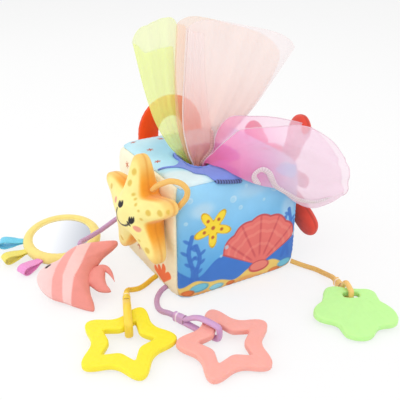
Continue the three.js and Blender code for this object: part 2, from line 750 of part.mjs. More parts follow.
const toyBox = new THREE.Group();
toyBox.add(...boxShell(), innerLining(), slotCuff(), ...standingScarves(), drapedScarf(), rearHandle());
toyBox.add(starfish(), cord('starfish_cord', 0xf0b456));
toyBox.add(fish(), cord('fish_cord', 0xc896c3), mirror(), mirrorTab());
toyBox.add(cord('yellow_cord', 0xf5cd3c), cord('purple_cord', 0xc896c3), cord('orange_cord', 0xebb95a));
toyBox.add(teether('yellow_star_teether', teethers.yellow, starTeether()));
toyBox.add(teether('pink_star_teether', teethers.pink, starTeether()));
toyBox.add(teether('green_flower_teether', teethers.green, flowerTeether(teethers.green)));
toyBox.add(teetherLoop('yellow_loop', teethers.yellow, starEyeRadius, 0xf5cd3c));
toyBox.add(teetherLoop('purple_loop', teethers.pink, starEyeRadius, 0xc896c3));
toyBox.add(teetherLoop('orange_loop', teethers.green, flowerSlotRadius, 0xebb95a));
toyBox.add(crab());

export default toyBox;
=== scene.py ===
import math

import bmesh
import bpy
import numpy as np
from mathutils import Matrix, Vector


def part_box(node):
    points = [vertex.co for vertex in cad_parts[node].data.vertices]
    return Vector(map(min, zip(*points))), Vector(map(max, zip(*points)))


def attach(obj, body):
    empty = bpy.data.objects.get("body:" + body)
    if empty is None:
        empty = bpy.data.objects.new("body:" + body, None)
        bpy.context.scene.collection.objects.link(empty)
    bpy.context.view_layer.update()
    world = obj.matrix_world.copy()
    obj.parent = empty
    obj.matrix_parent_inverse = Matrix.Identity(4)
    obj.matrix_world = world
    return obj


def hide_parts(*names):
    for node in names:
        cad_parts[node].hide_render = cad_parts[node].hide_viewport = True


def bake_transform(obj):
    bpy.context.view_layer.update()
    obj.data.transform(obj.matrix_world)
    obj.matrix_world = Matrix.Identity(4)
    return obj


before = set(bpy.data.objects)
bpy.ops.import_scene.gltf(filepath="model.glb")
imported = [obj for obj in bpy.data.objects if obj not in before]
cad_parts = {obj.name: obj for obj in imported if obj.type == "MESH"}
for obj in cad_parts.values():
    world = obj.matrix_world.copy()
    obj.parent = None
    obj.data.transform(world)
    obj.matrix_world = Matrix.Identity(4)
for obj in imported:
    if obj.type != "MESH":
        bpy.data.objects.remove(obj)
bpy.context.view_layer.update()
scene = bpy.context.scene
scene.view_settings.view_transform = "Standard"
mm = 0.001  # pieces are drawn in millimetres
full = 2 * math.pi


# small tools for curves, paths and outlines

def ease(x, lo, hi):
    t = np.clip((x - lo) / (hi - lo), 0, 1)
    return t * t * (3 - 2 * t)


def below(x, line, soft):
    return 1 - ease(x, line - soft, line + soft)


def bell(x, width, power=2):
    return np.exp(-(x / width) ** power)


def bent(x, power):
    return np.sign(x) * np.abs(x) ** power


def unit(vector):
    return vector / np.linalg.norm(vector)


def compass(degrees, reach=1.0):
    angle = math.radians(degrees)
    return np.array((reach * math.cos(angle), reach * math.sin(angle)))


def ring(r, turn, z, centre=(0, 0)):
    return np.column_stack([centre[0] + r * np.cos(turn), centre[1] + r * np.sin(turn), z])


def smoothPath(points, count, closed=False):  # a rounded curve through all the points
    p = np.asarray(points, float)
    if p.shape[1] == 2:
        p = np.column_stack([p, np.zeros(len(p))])
    ends = (p[-1:], p[:2]) if closed else (2 * p[:1] - p[1:2], 2 * p[-1:] - p[-2:-1])
    p = np.vstack([ends[0], p, ends[1]])
    fine = []
    for i in range(1, len(p) - 2):
        p0, p1, p2, p3 = p[i - 1:i + 3]
        t1 = np.linalg.norm(p1 - p0) ** 0.5
        t2 = t1 + np.linalg.norm(p2 - p1) ** 0.5
        t3 = t2 + np.linalg.norm(p3 - p2) ** 0.5
        t = np.linspace(t1, t2, 24, endpoint=False)[:, None]
        a1 = ((t1 - t) * p0 + t * p1) / t1
        a2 = ((t2 - t) * p1 + (t - t1) * p2) / (t2 - t1)
        a3 = ((t3 - t) * p2 + (t - t2) * p3) / (t3 - t2)
        b1 = ((t2 - t) * a1 + t * a2) / t2
        b2 = ((t3 - t) * a2 + (t - t1) * a3) / (t3 - t1)
        fine.append(((t2 - t) * b1 + (t - t1) * b2) / (t2 - t1))
    fine.append(p[-2:-1])
    return evenPath(np.vstack(fine), count)


def evenPath(points, count):
    run = np.concatenate([[0], np.cumsum(np.linalg.norm(np.diff(points, axis=0), axis=1))])
    stops = np.linspace(0, run[-1], count)
    return np.stack([np.interp(stops, run, column) for column in points.T], 1)


def along(path, t):
    spot = np.clip(t, 0, 1) * (len(path) - 1)
    return np.stack([np.interp(spot, np.arange(len(path)), column) for column in path.T], 1)


def pathLength(path):
    return float(np.linalg.norm(np.diff(path, axis=0), axis=1).sum())


def reachOf(outline, centre, angles):  # how far the outline is from its centre, by angle
    p = outline[:, :2] - np.asarray(centre, float)
    e = np.roll(p, -1, axis=0) - p
    dx, dy = np.cos(angles)[:, None], np.sin(angles)[:, None]
    turn = dx * e[:, 1] - dy * e[:, 0]
    turn = np.where(np.abs(turn) < 1e-9, 1e-9, turn)
    r = (p[:, 0] * e[:, 1] - p[:, 1] * e[:, 0]) / turn
    s = (p[:, 0] * dy - p[:, 1] * dx) / turn
    return np.where((s > -1e-6) & (s < 1 + 1e-6) & (r > 0), r, 0).max(axis=1)


def roundedOutline(corners, steps=10):  # corners are x, y and rounding
    spots = np.array([c[:2] for c in corners], float)
    t = np.linspace(0, 1, steps)[:, None]
    points = []
    for i, here in enumerate(spots):
        before, after, rounding = spots[i - 1], spots[(i + 1) % len(spots)], corners[i][2]
        entry = here + unit(before - here) * rounding
        leave = here + unit(after - here) * rounding
        points.append((1 - t) ** 2 * entry + 2 * t * (1 - t) * here + t * t * leave)
    return np.vstack(points)


def placed(local, place):  # place is an origin and three axes
    return np.asarray(place[0]) + local @ np.asarray(place[1:4])


# paint: levels of 0 to 255, one colour or rows of them

def tone(rgb):
    c = np.clip(np.asarray(rgb, float), 0, 255) / 255
    return np.where(c <= 0.04045, c / 12.92, ((c + 0.055) / 1.055) ** 2.4)


def plain(colour, rows):
    return np.tile(np.array(colour, float), (len(rows), 1))


def over(base, mask, colour):
    return np.asarray(base, float) * (1 - mask[:, None]) + np.asarray(colour, float) * mask[:, None]


def blob(x, y, cx, cy, rx, ry, edge=0.6, turn=0.0):
    c, s = compass(turn)
    px, py = (x - cx) * c + (y - cy) * s, (y - cy) * c - (x - cx) * s
    return below((np.hypot(px / rx, py / ry) - 1) * min(rx, ry), 0, edge)


def dabs(base, x, y, spots):  # spots are strength, blob and colour
    for share, spot, colour in spots:
        base = over(base, share * blob(x, y, *spot), colour)
    return base


def stroke(x, y, points, width, edge=0.45):
    best = np.full(len(x), 1e9)
    for (ax, ay), (bx, by) in zip(points[:-1], points[1:]):
        ex, ey = bx - ax, by - ay
        t = np.clip(((x - ax) * ex + (y - ay) * ey) / (ex * ex + ey * ey), 0, 1)
        best = np.minimum(best, np.hypot(x - ax - t * ex, y - ay - t * ey))
    return below(best, width / 2, edge)


def seamed(colour, dark, edge):  # plain plush with a darker seam round its rim
    def paint(p, u, v):
        return plain(tone(colour), u) * (1 - dark * (np.abs(np.sin(math.pi * v)) > edge))[:, None]
    return paint


# pieces: a grid of points bent to a shape, with its own UV map and paint

def rimOf(bm):
    return [e for e in bm.edges if e.is_boundary]


def store(bm, mesh):
    for face in bm.faces:
        face.smooth = True
    bm.to_mesh(mesh)
    bm.free()


def pieceFrom(name, bm, mesh=None):
    mesh = mesh or bpy.data.meshes.new(name)
    store(bm, mesh)
    obj = bpy.data.objects.new(name, mesh)
    scene.collection.objects.link(obj)
    return obj


def gridPiece(name, across, up, shape, paint=None, merge=False, close=False, flip=False):
    bm = bmesh.new()
    bm.loops.layers.uv.new("UVMap")
    bmesh.ops.create_grid(bm, x_segments=across, y_segments=up, size=1, calc_uvs=True)
    mesh = bpy.data.meshes.new(name)
    bm.to_mesh(mesh)
    flat = np.empty(len(mesh.vertices) * 3)
    mesh.vertices.foreach_get("co", flat)
    u, v = (flat.reshape(-1, 3)[:, :2].T + 1) / 2
    points = shape(u, v)
    mesh.vertices.foreach_set("co", (points * mm).astype(np.float32).ravel())
    if paint is not None:
        colour = np.ones((len(u), 4))
        colour[:, :3] = paint(u, v, points)
        layer = mesh.color_attributes.new("paint", "FLOAT_COLOR", "POINT")
        layer.data.foreach_set("color", colour.astype(np.float32).ravel())
    bm.clear()
    bm.from_mesh(mesh)
    if merge:
        bmesh.ops.remove_doubles(bm, verts=bm.verts[:], dist=2e-6)
    if close:
        bmesh.ops.holes_fill(bm, edges=rimOf(bm), sides=0)
    if merge or close:
        bmesh.ops.recalc_face_normals(bm, faces=bm.faces[:])
    elif flip:
        bmesh.ops.reverse_faces(bm, faces=bm.faces[:])
    return pieceFrom(name, bm, mesh)


def pathFrames(path):  # two directions across the path at each of its points
    ahead = np.gradient(path, axis=0)
    ahead /= np.linalg.norm(ahead, axis=1)[:, None]
    side = np.cross(ahead[0], (0, 0, 1.0) if abs(ahead[0][2]) < 0.9 else (1.0, 0, 0))
    sides = []
    for step in ahead:
        side = unit(side - step * (side @ step))
        sides.append(side)
    sides = np.array(sides)
    return sides, np.cross(ahead, sides)


def tubePiece(name, path, radius, sides=16, twist=0.0, relief=0.0, plies=3, wide=1.0, taper=None, paint=None):
    left, upward = pathFrames(path)
    length = pathLength(path)

    def shape(u, v):
        turn = full * u
        r = radius * (1 + relief * np.abs(np.cos(plies * (turn - twist * v * length) / 2)) - relief / 2)
        if taper is not None:
            r = r * taper(v)
        sideways = (wide * r * np.cos(turn))[:, None] * along(left, v)
        return along(path, v) + sideways + (r * np.sin(turn))[:, None] * along(upward, v)

    return gridPiece(name, sides, len(path) - 1, shape, paint, merge=True, close=True)


def thicken(obj, thick):
    layer = obj.modifiers.new("clothThickness", "SOLIDIFY")
    layer.thickness = thick * mm
    layer.offset = 0


def areaOf(obj):
    return sum(f.area for f in obj.data.polygons)


def dress(obj, material, body, slotName, stands=()):
    obj.data.materials.append(material)
    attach(obj, body)
    mark(slotName, stands)


def mark(slotName, stands=()):
    if stands:
        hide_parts(*stands)


# materials: cloth, chiffon, silicone, braid, ribbon and mirror film

def startMaterial(name, roughness, sheen=0.0, specular=0.3):
    mat = bpy.data.materials.new(name)
    mat.use_nodes = True
    shader = mat.node_tree.nodes["Principled BSDF"]
    shader.inputs["Roughness"].default_value = roughness
    shader.inputs["Specular IOR Level"].default_value = specular
    shader.inputs["Sheen Weight"].default_value = sheen
    shader.inputs["Sheen Roughness"].default_value = 0.5
    return mat, mat.node_tree.nodes, mat.node_tree.links, shader


def node(nodes, kind, **values):
    made = nodes.new("ShaderNode" + kind)
    for key, value in values.items():
        made.inputs[key].default_value = value
    return made


def mapped(nodes, links, space, pattern, **values):
    place, mapping = nodes.new("ShaderNodeTexCoord"), node(nodes, "Mapping", **values)
    links.new(place.outputs[space], mapping.inputs["Vector"])
    links.new(mapping.outputs["Vector"], pattern.inputs["Vector"])
    return place


def ramped(nodes, links, shader, pattern, first, second, start=0.0):
    ramp = nodes.new("ShaderNodeValToRGB")
    ramp.color_ramp.elements[0].position = start
    ramp.color_ramp.elements[0].color = (*first, 1)
    ramp.color_ramp.elements[1].color = (*second, 1)
    links.new(pattern.outputs["Fac"], ramp.inputs["Fac"])
    links.new(ramp.outputs["Color"], shader.inputs["Base Color"])


def raised(nodes, links, shader, pattern, depth, strength):
    bump = node(nodes, "Bump", Strength=strength, Distance=depth)
    links.new(pattern.outputs["Fac"], bump.inputs["Height"])
    links.new(bump.outputs["Normal"], shader.inputs["Normal"])


def mottled(nodes, links, shader, colour, scale, low):  # without a colour it takes the piece's paint
    place = nodes.new("ShaderNodeTexCoord")
    noise = node(nodes, "TexNoise", Scale=scale, Detail=4.0, Roughness=0.6)
    links.new(place.outputs["Object"], noise.inputs["Vector"])
    ramp = nodes.new("ShaderNodeValToRGB")
    ramp.color_ramp.elements[0].position = 0.3
    ramp.color_ramp.elements[1].position = 0.72
    ramp.color_ramp.elements[0].color = (low, low, low, 1)
    links.new(noise.outputs["Fac"], ramp.inputs["Fac"])
    mix = nodes.new("ShaderNodeMix")
    mix.data_type = "RGBA"
    mix.blend_type = "MULTIPLY"
    mix.inputs[0].default_value = 1.0
    if colour is None:
        paint = nodes.new("ShaderNodeVertexColor")
        paint.layer_name = "paint"
        links.new(paint.outputs["Color"], mix.inputs[6])
    else:
        mix.inputs[6].default_value = (*tone(colour), 1)
    links.new(ramp.outputs["Color"], mix.inputs[7])
    links.new(mix.outputs[2], shader.inputs["Base Color"])
    return place


def bumped(nodes, links, shader, place, scale, depth, strength):
    noise = node(nodes, "TexNoise", Scale=scale, Detail=2.0, Roughness=0.7)
    links.new(place.outputs["Object"], noise.inputs["Vector"])
    raised(nodes, links, shader, noise, depth, strength)


def clothMaterial(name, colour, pile, depth, strength, sheen, low, blotch):
    mat, *tree = startMaterial(name, 0.88, sheen, 0.15)
    bumped(*tree, mottled(*tree, colour, blotch, low), pile, depth, strength)
    return mat


def chiffonMaterial(name, alpha):
    mat, *tree = startMaterial(name, 0.6, 0.15, 0.2)
    bumped(*tree, mottled(*tree, None, 25, 0.95), 2600, 0.0002, 0.3)
    tree[-1].inputs["Alpha"].default_value = alpha
    return mat


def siliconeMaterial(name, colour=None, gloss=0.42):
    mat, *tree = startMaterial(name, gloss, 0.0, 0.4)
    bumped(*tree, mottled(*tree, colour, 140, 0.96), 900, 0.00015, 0.25)
    for key, value in (("Weight", 0.25), ("Radius", (0.004, 0.003, 0.002)), ("Scale", 0.6)):
        tree[-1].inputs["Subsurface " + key].default_value = value
    return mat


def hemMaterial(name, colour, alpha, stitches, low=0.92):
    mat, nodes, links, shader = startMaterial(name, 0.6, 0.15, 0.2)
    thread = node(nodes, "TexWave", Scale=0.314)
    thread.bands_direction = "Y"
    mapped(nodes, links, "UV", thread, Scale=(0.0, stitches, 0.0))
    ramped(nodes, links, shader, thread, tone(colour) * low, tone(colour), 0.25)
    shader.inputs["Alpha"].default_value = alpha
    return mat


def cordMaterial(name, colour, light):
    mat, nodes, links, shader = startMaterial(name, 0.55, 0.15, 0.3)
    braid = node(nodes, "TexWave", Scale=1.2, Distortion=0.6, Detail=1.0)
    mapped(nodes, links, "UV", braid, Scale=(6.0, 30.0, 1.0), Rotation=(0, 0, 0.5))
    ramped(nodes, links, shader, braid, tone(colour), tone(light))
    raised(nodes, links, shader, braid, 0.0004, 0.35)
    return mat


def ribbonMaterial(name, colour):
    mat, nodes, links, shader = startMaterial(name, 0.45, 0.2, 0.4)
    place = nodes.new("ShaderNodeTexCoord")
    ribs = node(nodes, "TexWave", Scale=22.0, Distortion=0.2)
    links.new(place.outputs["UV"], ribs.inputs["Vector"])
    ramped(nodes, links, shader, ribs, tone(colour) * 0.82, tone(colour))
    raised(nodes, links, shader, ribs, 0.0003, 0.3)
    return mat


def filmMaterial(name, light, dark):
    mat, nodes, links, shader = startMaterial(name, 0.08, 0.0, 0.5)
    shader.inputs["Metallic"].default_value = 1.0
    # the film's colour runs from a light to a dark grey across the disc: a painted reflection
    paintedReflection = nodes.new("ShaderNodeTexGradient")
    place = mapped(nodes, links, "Object", paintedReflection, Scale=(16.7, 16.7, 16.7), Rotation=(0, 0, 0.5213),
                   Location=(3.08, 0, 0))
    ramped(nodes, links, shader, paintedReflection, tone(light), tone(dark), 0.15)
    bumped(nodes, links, shader, place, 45, 0.0008, 0.12)
    return mat


# cloths: colour where the piece has no paint, pile scale and depth, bump, sheen, darkest blotch, blotch scale
clothSet = {
    "printedVelour": (None, 1500, 0.0003, 0.4, 0.18, 0.94, 70),
    "periwinkleBinding": ((132, 152, 232), 1500, 0.0003, 0.4, 0.15, 0.9, 120),
    "liningCotton": ((244, 240, 230), 2200, 0.0002, 0.4, 0.1, 0.93, 60),
    "handlePlush": (None, 900, 0.0006, 0.6, 0.3, 0.86, 110),
    "starfishPlush": (None, 1000, 0.0006, 0.55, 0.3, 0.92, 120),
    "fishPlush": (None, 1000, 0.0006, 0.55, 0.3, 0.93, 120),
    "rimPlush": (None, 1100, 0.0005, 0.5, 0.3, 0.93, 120),
    "mirrorBackCloth": ((255, 222, 110), 1600, 0.0003, 0.4, 0.2, 0.92, 90),
    "crabPlush": (None, 950, 0.0006, 0.6, 0.3, 0.9, 110),
}
cloths = {name: clothMaterial(name, *values) for name, values in clothSet.items()}
braids = {
    "cord_orange": cordMaterial("orangeBraid", (236, 178, 84), (250, 208, 126)),
    "cord_purple": cordMaterial("lilacBraid", (186, 134, 184), (220, 182, 216)),
    "cord_yellow": cordMaterial("yellowBraid", (240, 190, 30), (252, 220, 80)),
}
print("materials")


# camera, floor and light

cameraSet = {"place": (-282.6, -480.1, 327.2), "aim": (-3.45, 5.9, 62.18), "lens": 54.1}
studioSet = {
    "sky": 0.74, "floorHalf": 4.0, "floorDrop": 0.3, "floorTone": 0.96,
    "keep": 0.3,  # share of the floor's own shade that the camera sees
    "aim": (0, 0, 60),
    "lamps": [((-450, -900, 1300), 1.1, 4.6), ((900, -700, 900), 1.2, 2.2),  # place, size, power
              ((-1000, 250, 700), 1.3, 3.6), ((100, 900, 1200), 1.4, 2.4)],
}


def aimed(name, data, place, aim):
    obj = bpy.data.objects.new(name, data)
    scene.collection.objects.link(obj)
    obj.location = Vector(place) * mm
    obj.rotation_euler = (Vector(aim) - Vector(place)).to_track_quat("-Z", "Y").to_euler()
    return obj


def seenRays(nodes, links):
    rays = nodes.new("ShaderNodeLightPath")
    last = rays.outputs["Is Camera Ray"]
    for name in ("Is Glossy Ray", "Is Transmission Ray"):
        either = nodes.new("ShaderNodeMath")
        either.operation = "MAXIMUM"
        links.new(last, either.inputs[0])
        links.new(rays.outputs[name], either.inputs[1])
        last = either.outputs[0]
    return last


def shown(nodes, links, share, own, seen, output):
    mix = nodes.new("ShaderNodeMixShader")
    for i, source in enumerate((share, own.outputs[0], seen.outputs[0])):
        links.new(source, mix.inputs[i])
    links.new(mix.outputs[0], nodes[output].inputs["Surface"])


def makeCamera(s):
    data = bpy.data.cameras.new("photoCamera")
    data.lens = s["lens"]
    data.sensor_width = 36
    scene.camera = aimed("photoCamera", data, s["place"], s["aim"])


def makeStudio(s):
    white = (1, 1, 1, 1)
    world = bpy.data.worlds.new("studio")
    scene.world = world
    world.use_nodes = True
    nodes, links = world.node_tree.nodes, world.node_tree.links
    light = nodes["Background"]
    light.inputs["Color"].default_value = white
    light.inputs["Strength"].default_value = s["sky"]
    seen = node(nodes, "Background", Color=white, Strength=1.0)
    shown(nodes, links, seenRays(nodes, links), light, seen, "World Output")
    for i, (place, size, power) in enumerate(s["lamps"]):
        data = bpy.data.lights.new(f"softLamp{i}", "AREA")
        data.size, data.energy = size, power
        aimed(f"softLamp{i}", data, place, s["aim"])
    bm = bmesh.new()
    bmesh.ops.create_grid(bm, x_segments=2, y_segments=2, size=s["floorHalf"])
    bmesh.ops.translate(bm, verts=bm.verts[:], vec=(0, 0, -s["floorDrop"] * mm))
    floor = pieceFrom("studioFloor", bm)
    mat, nodes, links, shader = startMaterial("floorPaper", 0.9)
    shader.inputs["Base Color"].default_value = (*[s["floorTone"]] * 3, 1)
    glow = node(nodes, "Emission", Color=white, Strength=1.0)
    share = nodes.new("ShaderNodeMath")
    share.operation = "MULTIPLY"
    share.inputs[1].default_value = 1 - s["keep"]
    links.new(seenRays(nodes, links), share.inputs[0])
    shown(nodes, links, share.outputs[0], shader, glow, "Material Output")
    floor.data.materials.append(mat)


makeCamera(cameraSet)
makeStudio(studioSet)
print("camera and studio")


# cords, from the box to their toys

cordSet = {"diameter": 5.0, "steps": 64, "sides": 20, "twist": 0.35, "relief": 0.05, "plies": 6}
cordRoutes = {  # bend gives two shares along the cord, from the box to what it holds
    "starfish_cord": {
        "route": [(-65.6, -65.6, 99), (-67.5, -68.5, 101), (-66.5, -74, 107), (-64.5, -78, 114), (-64.8, -79, 121),
                  (-68.5, -75.5, 126), (-73.5, -67, 126), (-77, -58.5, 121.5), (-79.2, -51, 116.5),
                  (-80.7, -45.4, 111)],
        "to": "starfish", "bend": (0, 0.2), "slot": "cord_orange", "far": "object"},
    "fish_cord": {
        "route": [(-68.1, 60, 36), (-74, 60, 35), (-84, 58.5, 31.5), (-95, 55.5, 28.5), (-106, 51, 27.5),
                  (-115, 45, 28.5), (-122, 38, 31), (-126, 31.6, 33.2), (-127.9, 26.4, 33.5)],
        "slot": "cord_purple", "far": "object"},
    "yellow_cord": {
        "route": [(-68.4, -21, 5.5), (-74, -21.6, 3.8), (-82, -25.2, 2.7), (-91, -28.4, 2.7), (-98, -29.2, 4),
                  (-103.2, -31.2, 6.4), (-106.6, -35.2, 7.8), (-108.4, -39.4, 7.8)],
        "to": "yellow_link", "bend": (0.75, 1), "slot": "cord_yellow", "far": "fitting"},
    "purple_cord": {
        "route": [(-68.5, -42.5, 5.5), (-74, -43.6, 3.8), (-81, -49.4, 2.7), (-86.4, -58, 2.7), (-89.2, -67, 3),
                  (-89.6, -76, 5), (-87.6, -84, 7.6), (-85.2, -89.6, 7.8)],
        "to": "purple_link", "bend": (0.75, 1), "slot": "cord_purple", "far": "fitting"},
    "orange_cord": {
        "route": [(64, -64.2, 5.8), (68.4, -69, 4.2), (74.5, -77, 2.7), (79, -86, 2.7), (80.9, -96, 3.2),
                  (80.3, -105, 5.2), (78.4, -112, 7.6), (76.9, -117.6, 7.8)],
        "to": "orange_link", "bend": (0.75, 1), "slot": "cord_orange", "far": "fitting"},
}


def makeCord(name, c, s):
    path = smoothPath(c["route"], s["steps"])
    cord = tubePiece(f"{name}_braid", path, s["diameter"] / 2, s["sides"], s["twist"], s["relief"], s["plies"])
    cord.data.materials.append(braids[c["slot"]])
    if "to" in c:
        ends = along(path, np.array(c["bend"])) * mm
        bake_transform(cord)
    else:
        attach(cord, "box")
    mark(c["slot"], [name])
    return cord, path


def declareCord(name):
    cord, path = cords[name]
    pathLength(path) * mm


cords = {name: makeCord(name, c, cordSet) for name, c in cordRoutes.items()}
print("cords", {name: round(pathLength(path), 1) for name, (cord, path) in cords.items()})


# the padded box

boxSet = {
    "half": 65.0, "rise": 57.5, "middle": 58.5, "power": 10, "relief": 0.2, "pinch": 0.7, "pinchWidth": 1.8,
    "pucker": 0.22, "ripple": 0.35, "wrap": 1.08, "cells": 200, "baseCells": 120, "topCells": (420, 70),
    "padDepth": 0.885, "walls": 2,
}
swell = 2 ** (1 / boxSet["power"])


def bulgeOf(a, b):
    return swell * (np.abs(a) ** boxSet["power"] + np.abs(b) ** boxSet["power"] + 1) ** (-1 / boxSet["power"])


def panelPoints(a, b, acrossHalf, upHalf, outHalf, limit=None, ends=(-1, 1)):
    s = boxSet
    tall = np.maximum(1, np.abs(a))
    edge = np.minimum(np.minimum(a - ends[0], ends[1] - a), tall - np.abs(b)) * acrossHalf
    run = np.where(np.abs(a) > np.abs(b), b, a) * acrossHalf
    pucker = s["pucker"] * bell(edge - 3, 3.5) * np.sin(run * 0.9 + 2 * np.sin(run * 0.17))
    wave = np.sin(0.06 * a * acrossHalf + 1.3) * np.sin(0.075 * b * upHalf + 0.4)
    bulge = bulgeOf(a, b) * (1 - s["pinch"] * bell(edge, s["pinchWidth"]) / acrossHalf)
    out = bulge * outHalf + pucker + s["ripple"] * wave * ease(edge, 2, 20)
    if limit is not None:
        out = np.minimum(out, limit)
    return np.column_stack([a * bulge * (acrossHalf - s["relief"]), b * bulge * (upHalf - s["relief"]), out])


def extruded(bm, edges):
    made = bmesh.ops.extrude_edge_only(bm, edges=edges)["geom"]
    verts = [g for g in made if isinstance(g, bmesh.types.BMVert)]
    return verts, [g for g in made if isinstance(g, bmesh.types.BMEdge) and g.is_boundary]


def closePad(obj, s):  # walls lean in from the seam, and the inside is closed
    bm = bmesh.new()
    bm.from_mesh(obj.data)
    middle = Vector((0, 0, s["middle"] * mm))
    rim, last = rimOf(bm), 1.0
    for step in range(s["walls"]):
        shrink = 1 - (1 - s["padDepth"]) * (step + 1) / s["walls"]
        verts, rim = extruded(bm, rim)
        for vert in verts:
            vert.co = middle + (vert.co - middle) * (shrink / last)
        last = shrink
    bmesh.ops.holes_fill(bm, edges=rim, sides=0)
    bmesh.ops.recalc_face_normals(bm, faces=bm.faces[:])
    store(bm, obj.data)


# printed cloth: a generic sea scene, plain sprigs and bubbles

seaSet = {
    "deep": (92, 172, 232), "light": (148, 208, 246), "hill": (70, 128, 214), "sideHill": (76, 134, 216),
    "weed": (66, 118, 206), "sand": (246, 212, 118), "wetSand": (240, 170, 96),
    "haze": [(0.55, (-44, 92, 11, 7, 4), (214, 236, 250)), (0.5, (52, 72, 8, 12, 4), (210, 232, 250)),
             (0.4, (8, 100, 16, 6, 4), (205, 230, 250))],
    "stems": [(-56, 68, 2), (-49, 58, -2), (47, 62, 3), (55, 70, -2), (61, 55, 1)],  # place, top, sway
    "shell": (20.0, 17.0, 56.0), "rib": 24, "shellRim": (206, 84, 88), "shellFace": (238, 122, 116),
    "ribTone": (216, 92, 96), "growthTone": (252, 168, 150), "hinge": (242, 140, 126),
    "star": (-33.0, 72.0), "starTurn": 0.35, "starRim": (226, 170, 20), "starFace": (255, 226, 66),
    "starDot": (196, 110, 60), "bubble": (232, 246, 255), "bubbleFace": (150, 212, 246),
    "pebbles": [(-47, 12, 10, 5, (122, 204, 228)), (-28, 7, 8, 4, (150, 218, 236)), (-58, 8, 6, 4, (236, 128, 66)),
                (52, 10, 9, 5, (120, 200, 226)), (40, 5, 7, 3.6, (238, 140, 74)), (-12, 6, 5, 3, (236, 128, 66))],
    "sidePebbles": [(-48, 8, (122, 204, 228)), (-20, 6, (236, 128, 66)), (18, 9, (150, 218, 236)),
                    (46, 7, (238, 140, 74))],
    "bubbles": [(-12, 96, 3.4), (-4, 86, 2.2), (34, 98, 4.2), (56, 96, 2.4), (48, 106, 1.8), (-56, 104, 2.6),
                (-60, 82, 1.8), (62, 40, 2.2), (-18, 48, 2.4), (-24, 40, 1.6), (2, 106, 1.6), (22, 88, 1.5)],
    "sideBubbles": [(-54, 60, 3), (-46, 74, 2), (52, 66, 3.4), (58, 84, 2), (-58, 96, 2.4), (40, 104, 2.8),
                    (0, 26, 2.2), (26, 44, 2.0), (-30, 40, 2.6)],
}
sprigSet = {  # each sprig is its place, size and turn
    "creamLow": (250, 238, 202), "creamHigh": (255, 248, 220), "topDeep": (160, 220, 244), "topPale": (200, 238, 250),
    "topHaze": [(0.85, (-58, -52, 26, 18, 5, -35), (232, 247, 250)), (0.5, (40, 52, 24, 8, 4, 8), (230, 246, 250))],
    "base": (168, 206, 232),
    "cream": [(36, 104, 3.2, 10), (15.5, 22.9, 4.6, 35), (52, 62, 3, 0), (-8, 102, 3, 20), (44, 30, 2.6, 50),
              (-2, 46, 3, 15), (22, 74, 2.8, 40), (-46, 92, 3, 5), (-28, 70, 3, 12)],
    "creamTone": (206, 112, 74),
    "top": [(-49, 25, 3, 15), (-26, 48, 2.8, 40), (-56, -6, 2.6, 0), (6, 54, 2.8, 25), (44, 46, 2.6, 10),
            (54, 10, 2.8, 35), (50, -30, 2.6, 5), (-54, 54, 2.4, 20), (26, 58, 2.2, 0)],
    "topTone": (196, 96, 78),
    "coralRoot": (-36, 11), "coralTips": [(-22.5, 15.5), (-31, 20.5), (-41, 26.5), (-50.5, 22.5)],
    "coralTone": (250, 118, 62),
}


def sprigs(base, x, y, spots, colour):
    for cx, cy, size, turn in spots:
        for arm in range(3):
            dx, dy = compass(turn + 60 * arm, size)
            base = over(base, stroke(x, y, [(cx - dx, cy - dy), (cx + dx, cy + dy)], 1.1), colour)
    return base


def bubbles(base, x, z, spots, s):
    for cx, cz, r in spots:
        inner = (cx - 0.15 * r, cz - 0.15 * r, 0.72 * r, 0.72 * r)
        base = dabs(base, x, z, [(0.5, (cx, cz, r, r), s["bubble"]), (0.55, inner, s["bubbleFace"])])
    return base


def seaBase(x, z, s):
    haze = 0.5 + 0.5 * np.sin(0.07 * x + 1.5 * np.sin(0.05 * z)) * np.sin(0.06 * z + 0.8)
    return over(s["deep"], ease(z, 20, 112), s["light"]) + 12 * haze[:, None]


def shell(c, x, z, s):
    hx, hz, size = s["shell"]
    r, angle = np.hypot(x - hx, z - hz), np.degrees(np.arctan2(x - hx, z - hz))
    scallop = 1 - 0.045 * (1 - np.abs(np.cos(np.radians(angle * 180 / s["rib"]))))
    lobes = size * scallop * (1 - 0.10 * (angle / 62) ** 2)
    c = over(c, below(r, lobes, 0.5) * below(np.abs(angle), 61.75, 0.75), s["shellRim"])
    fan = below(r, lobes - 1.8, 0.4) * below(np.abs(angle), 59.6, 0.6)
    c = over(c, fan, s["shellFace"])
    rib = np.abs((angle / s["rib"] + 0.5) % 1 - 0.5) * s["rib"] * np.radians(1) * r
    c = over(c, fan * 0.8 * below(rib, 1.1, 0.4) * ease(r, 9, 15), s["ribTone"])
    for band in (24, 38, 48):
        c = over(c, fan * 0.3 * below(np.abs(r - band * lobes / size), 1.6, 0.6), s["growthTone"])
    hinge = [(1, (hx, hz - 1, 12, 6.5), s["shellRim"]), (1, (hx, hz - 0.5, 10.4, 5.0), s["hinge"])]
    return dabs(c, x, z, hinge)


def seaStar(c, x, z, s):
    sx, sz = s["star"]
    lobes = 14.2 + 6.2 * np.cos(5 * (np.arctan2(z - sz, x - sx) + s["starTurn"]))
    r = np.hypot(x - sx, z - sz)
    c = over(c, below(r, lobes, 0.5), s["starRim"])
    c = over(c, below(r, lobes - 1.6, 0.4), s["starFace"])
    arms = full * np.arange(5) / 5 - s["starTurn"]
    dots = [(9.5 * math.cos(a), 9.5 * math.sin(a), 1.7) for a in arms] + [(0, 0, 2.0)]
    return dabs(c, x, z, [(1, (sx + dx, sz + dz, size, size), s["starDot"]) for dx, dz, size in dots])


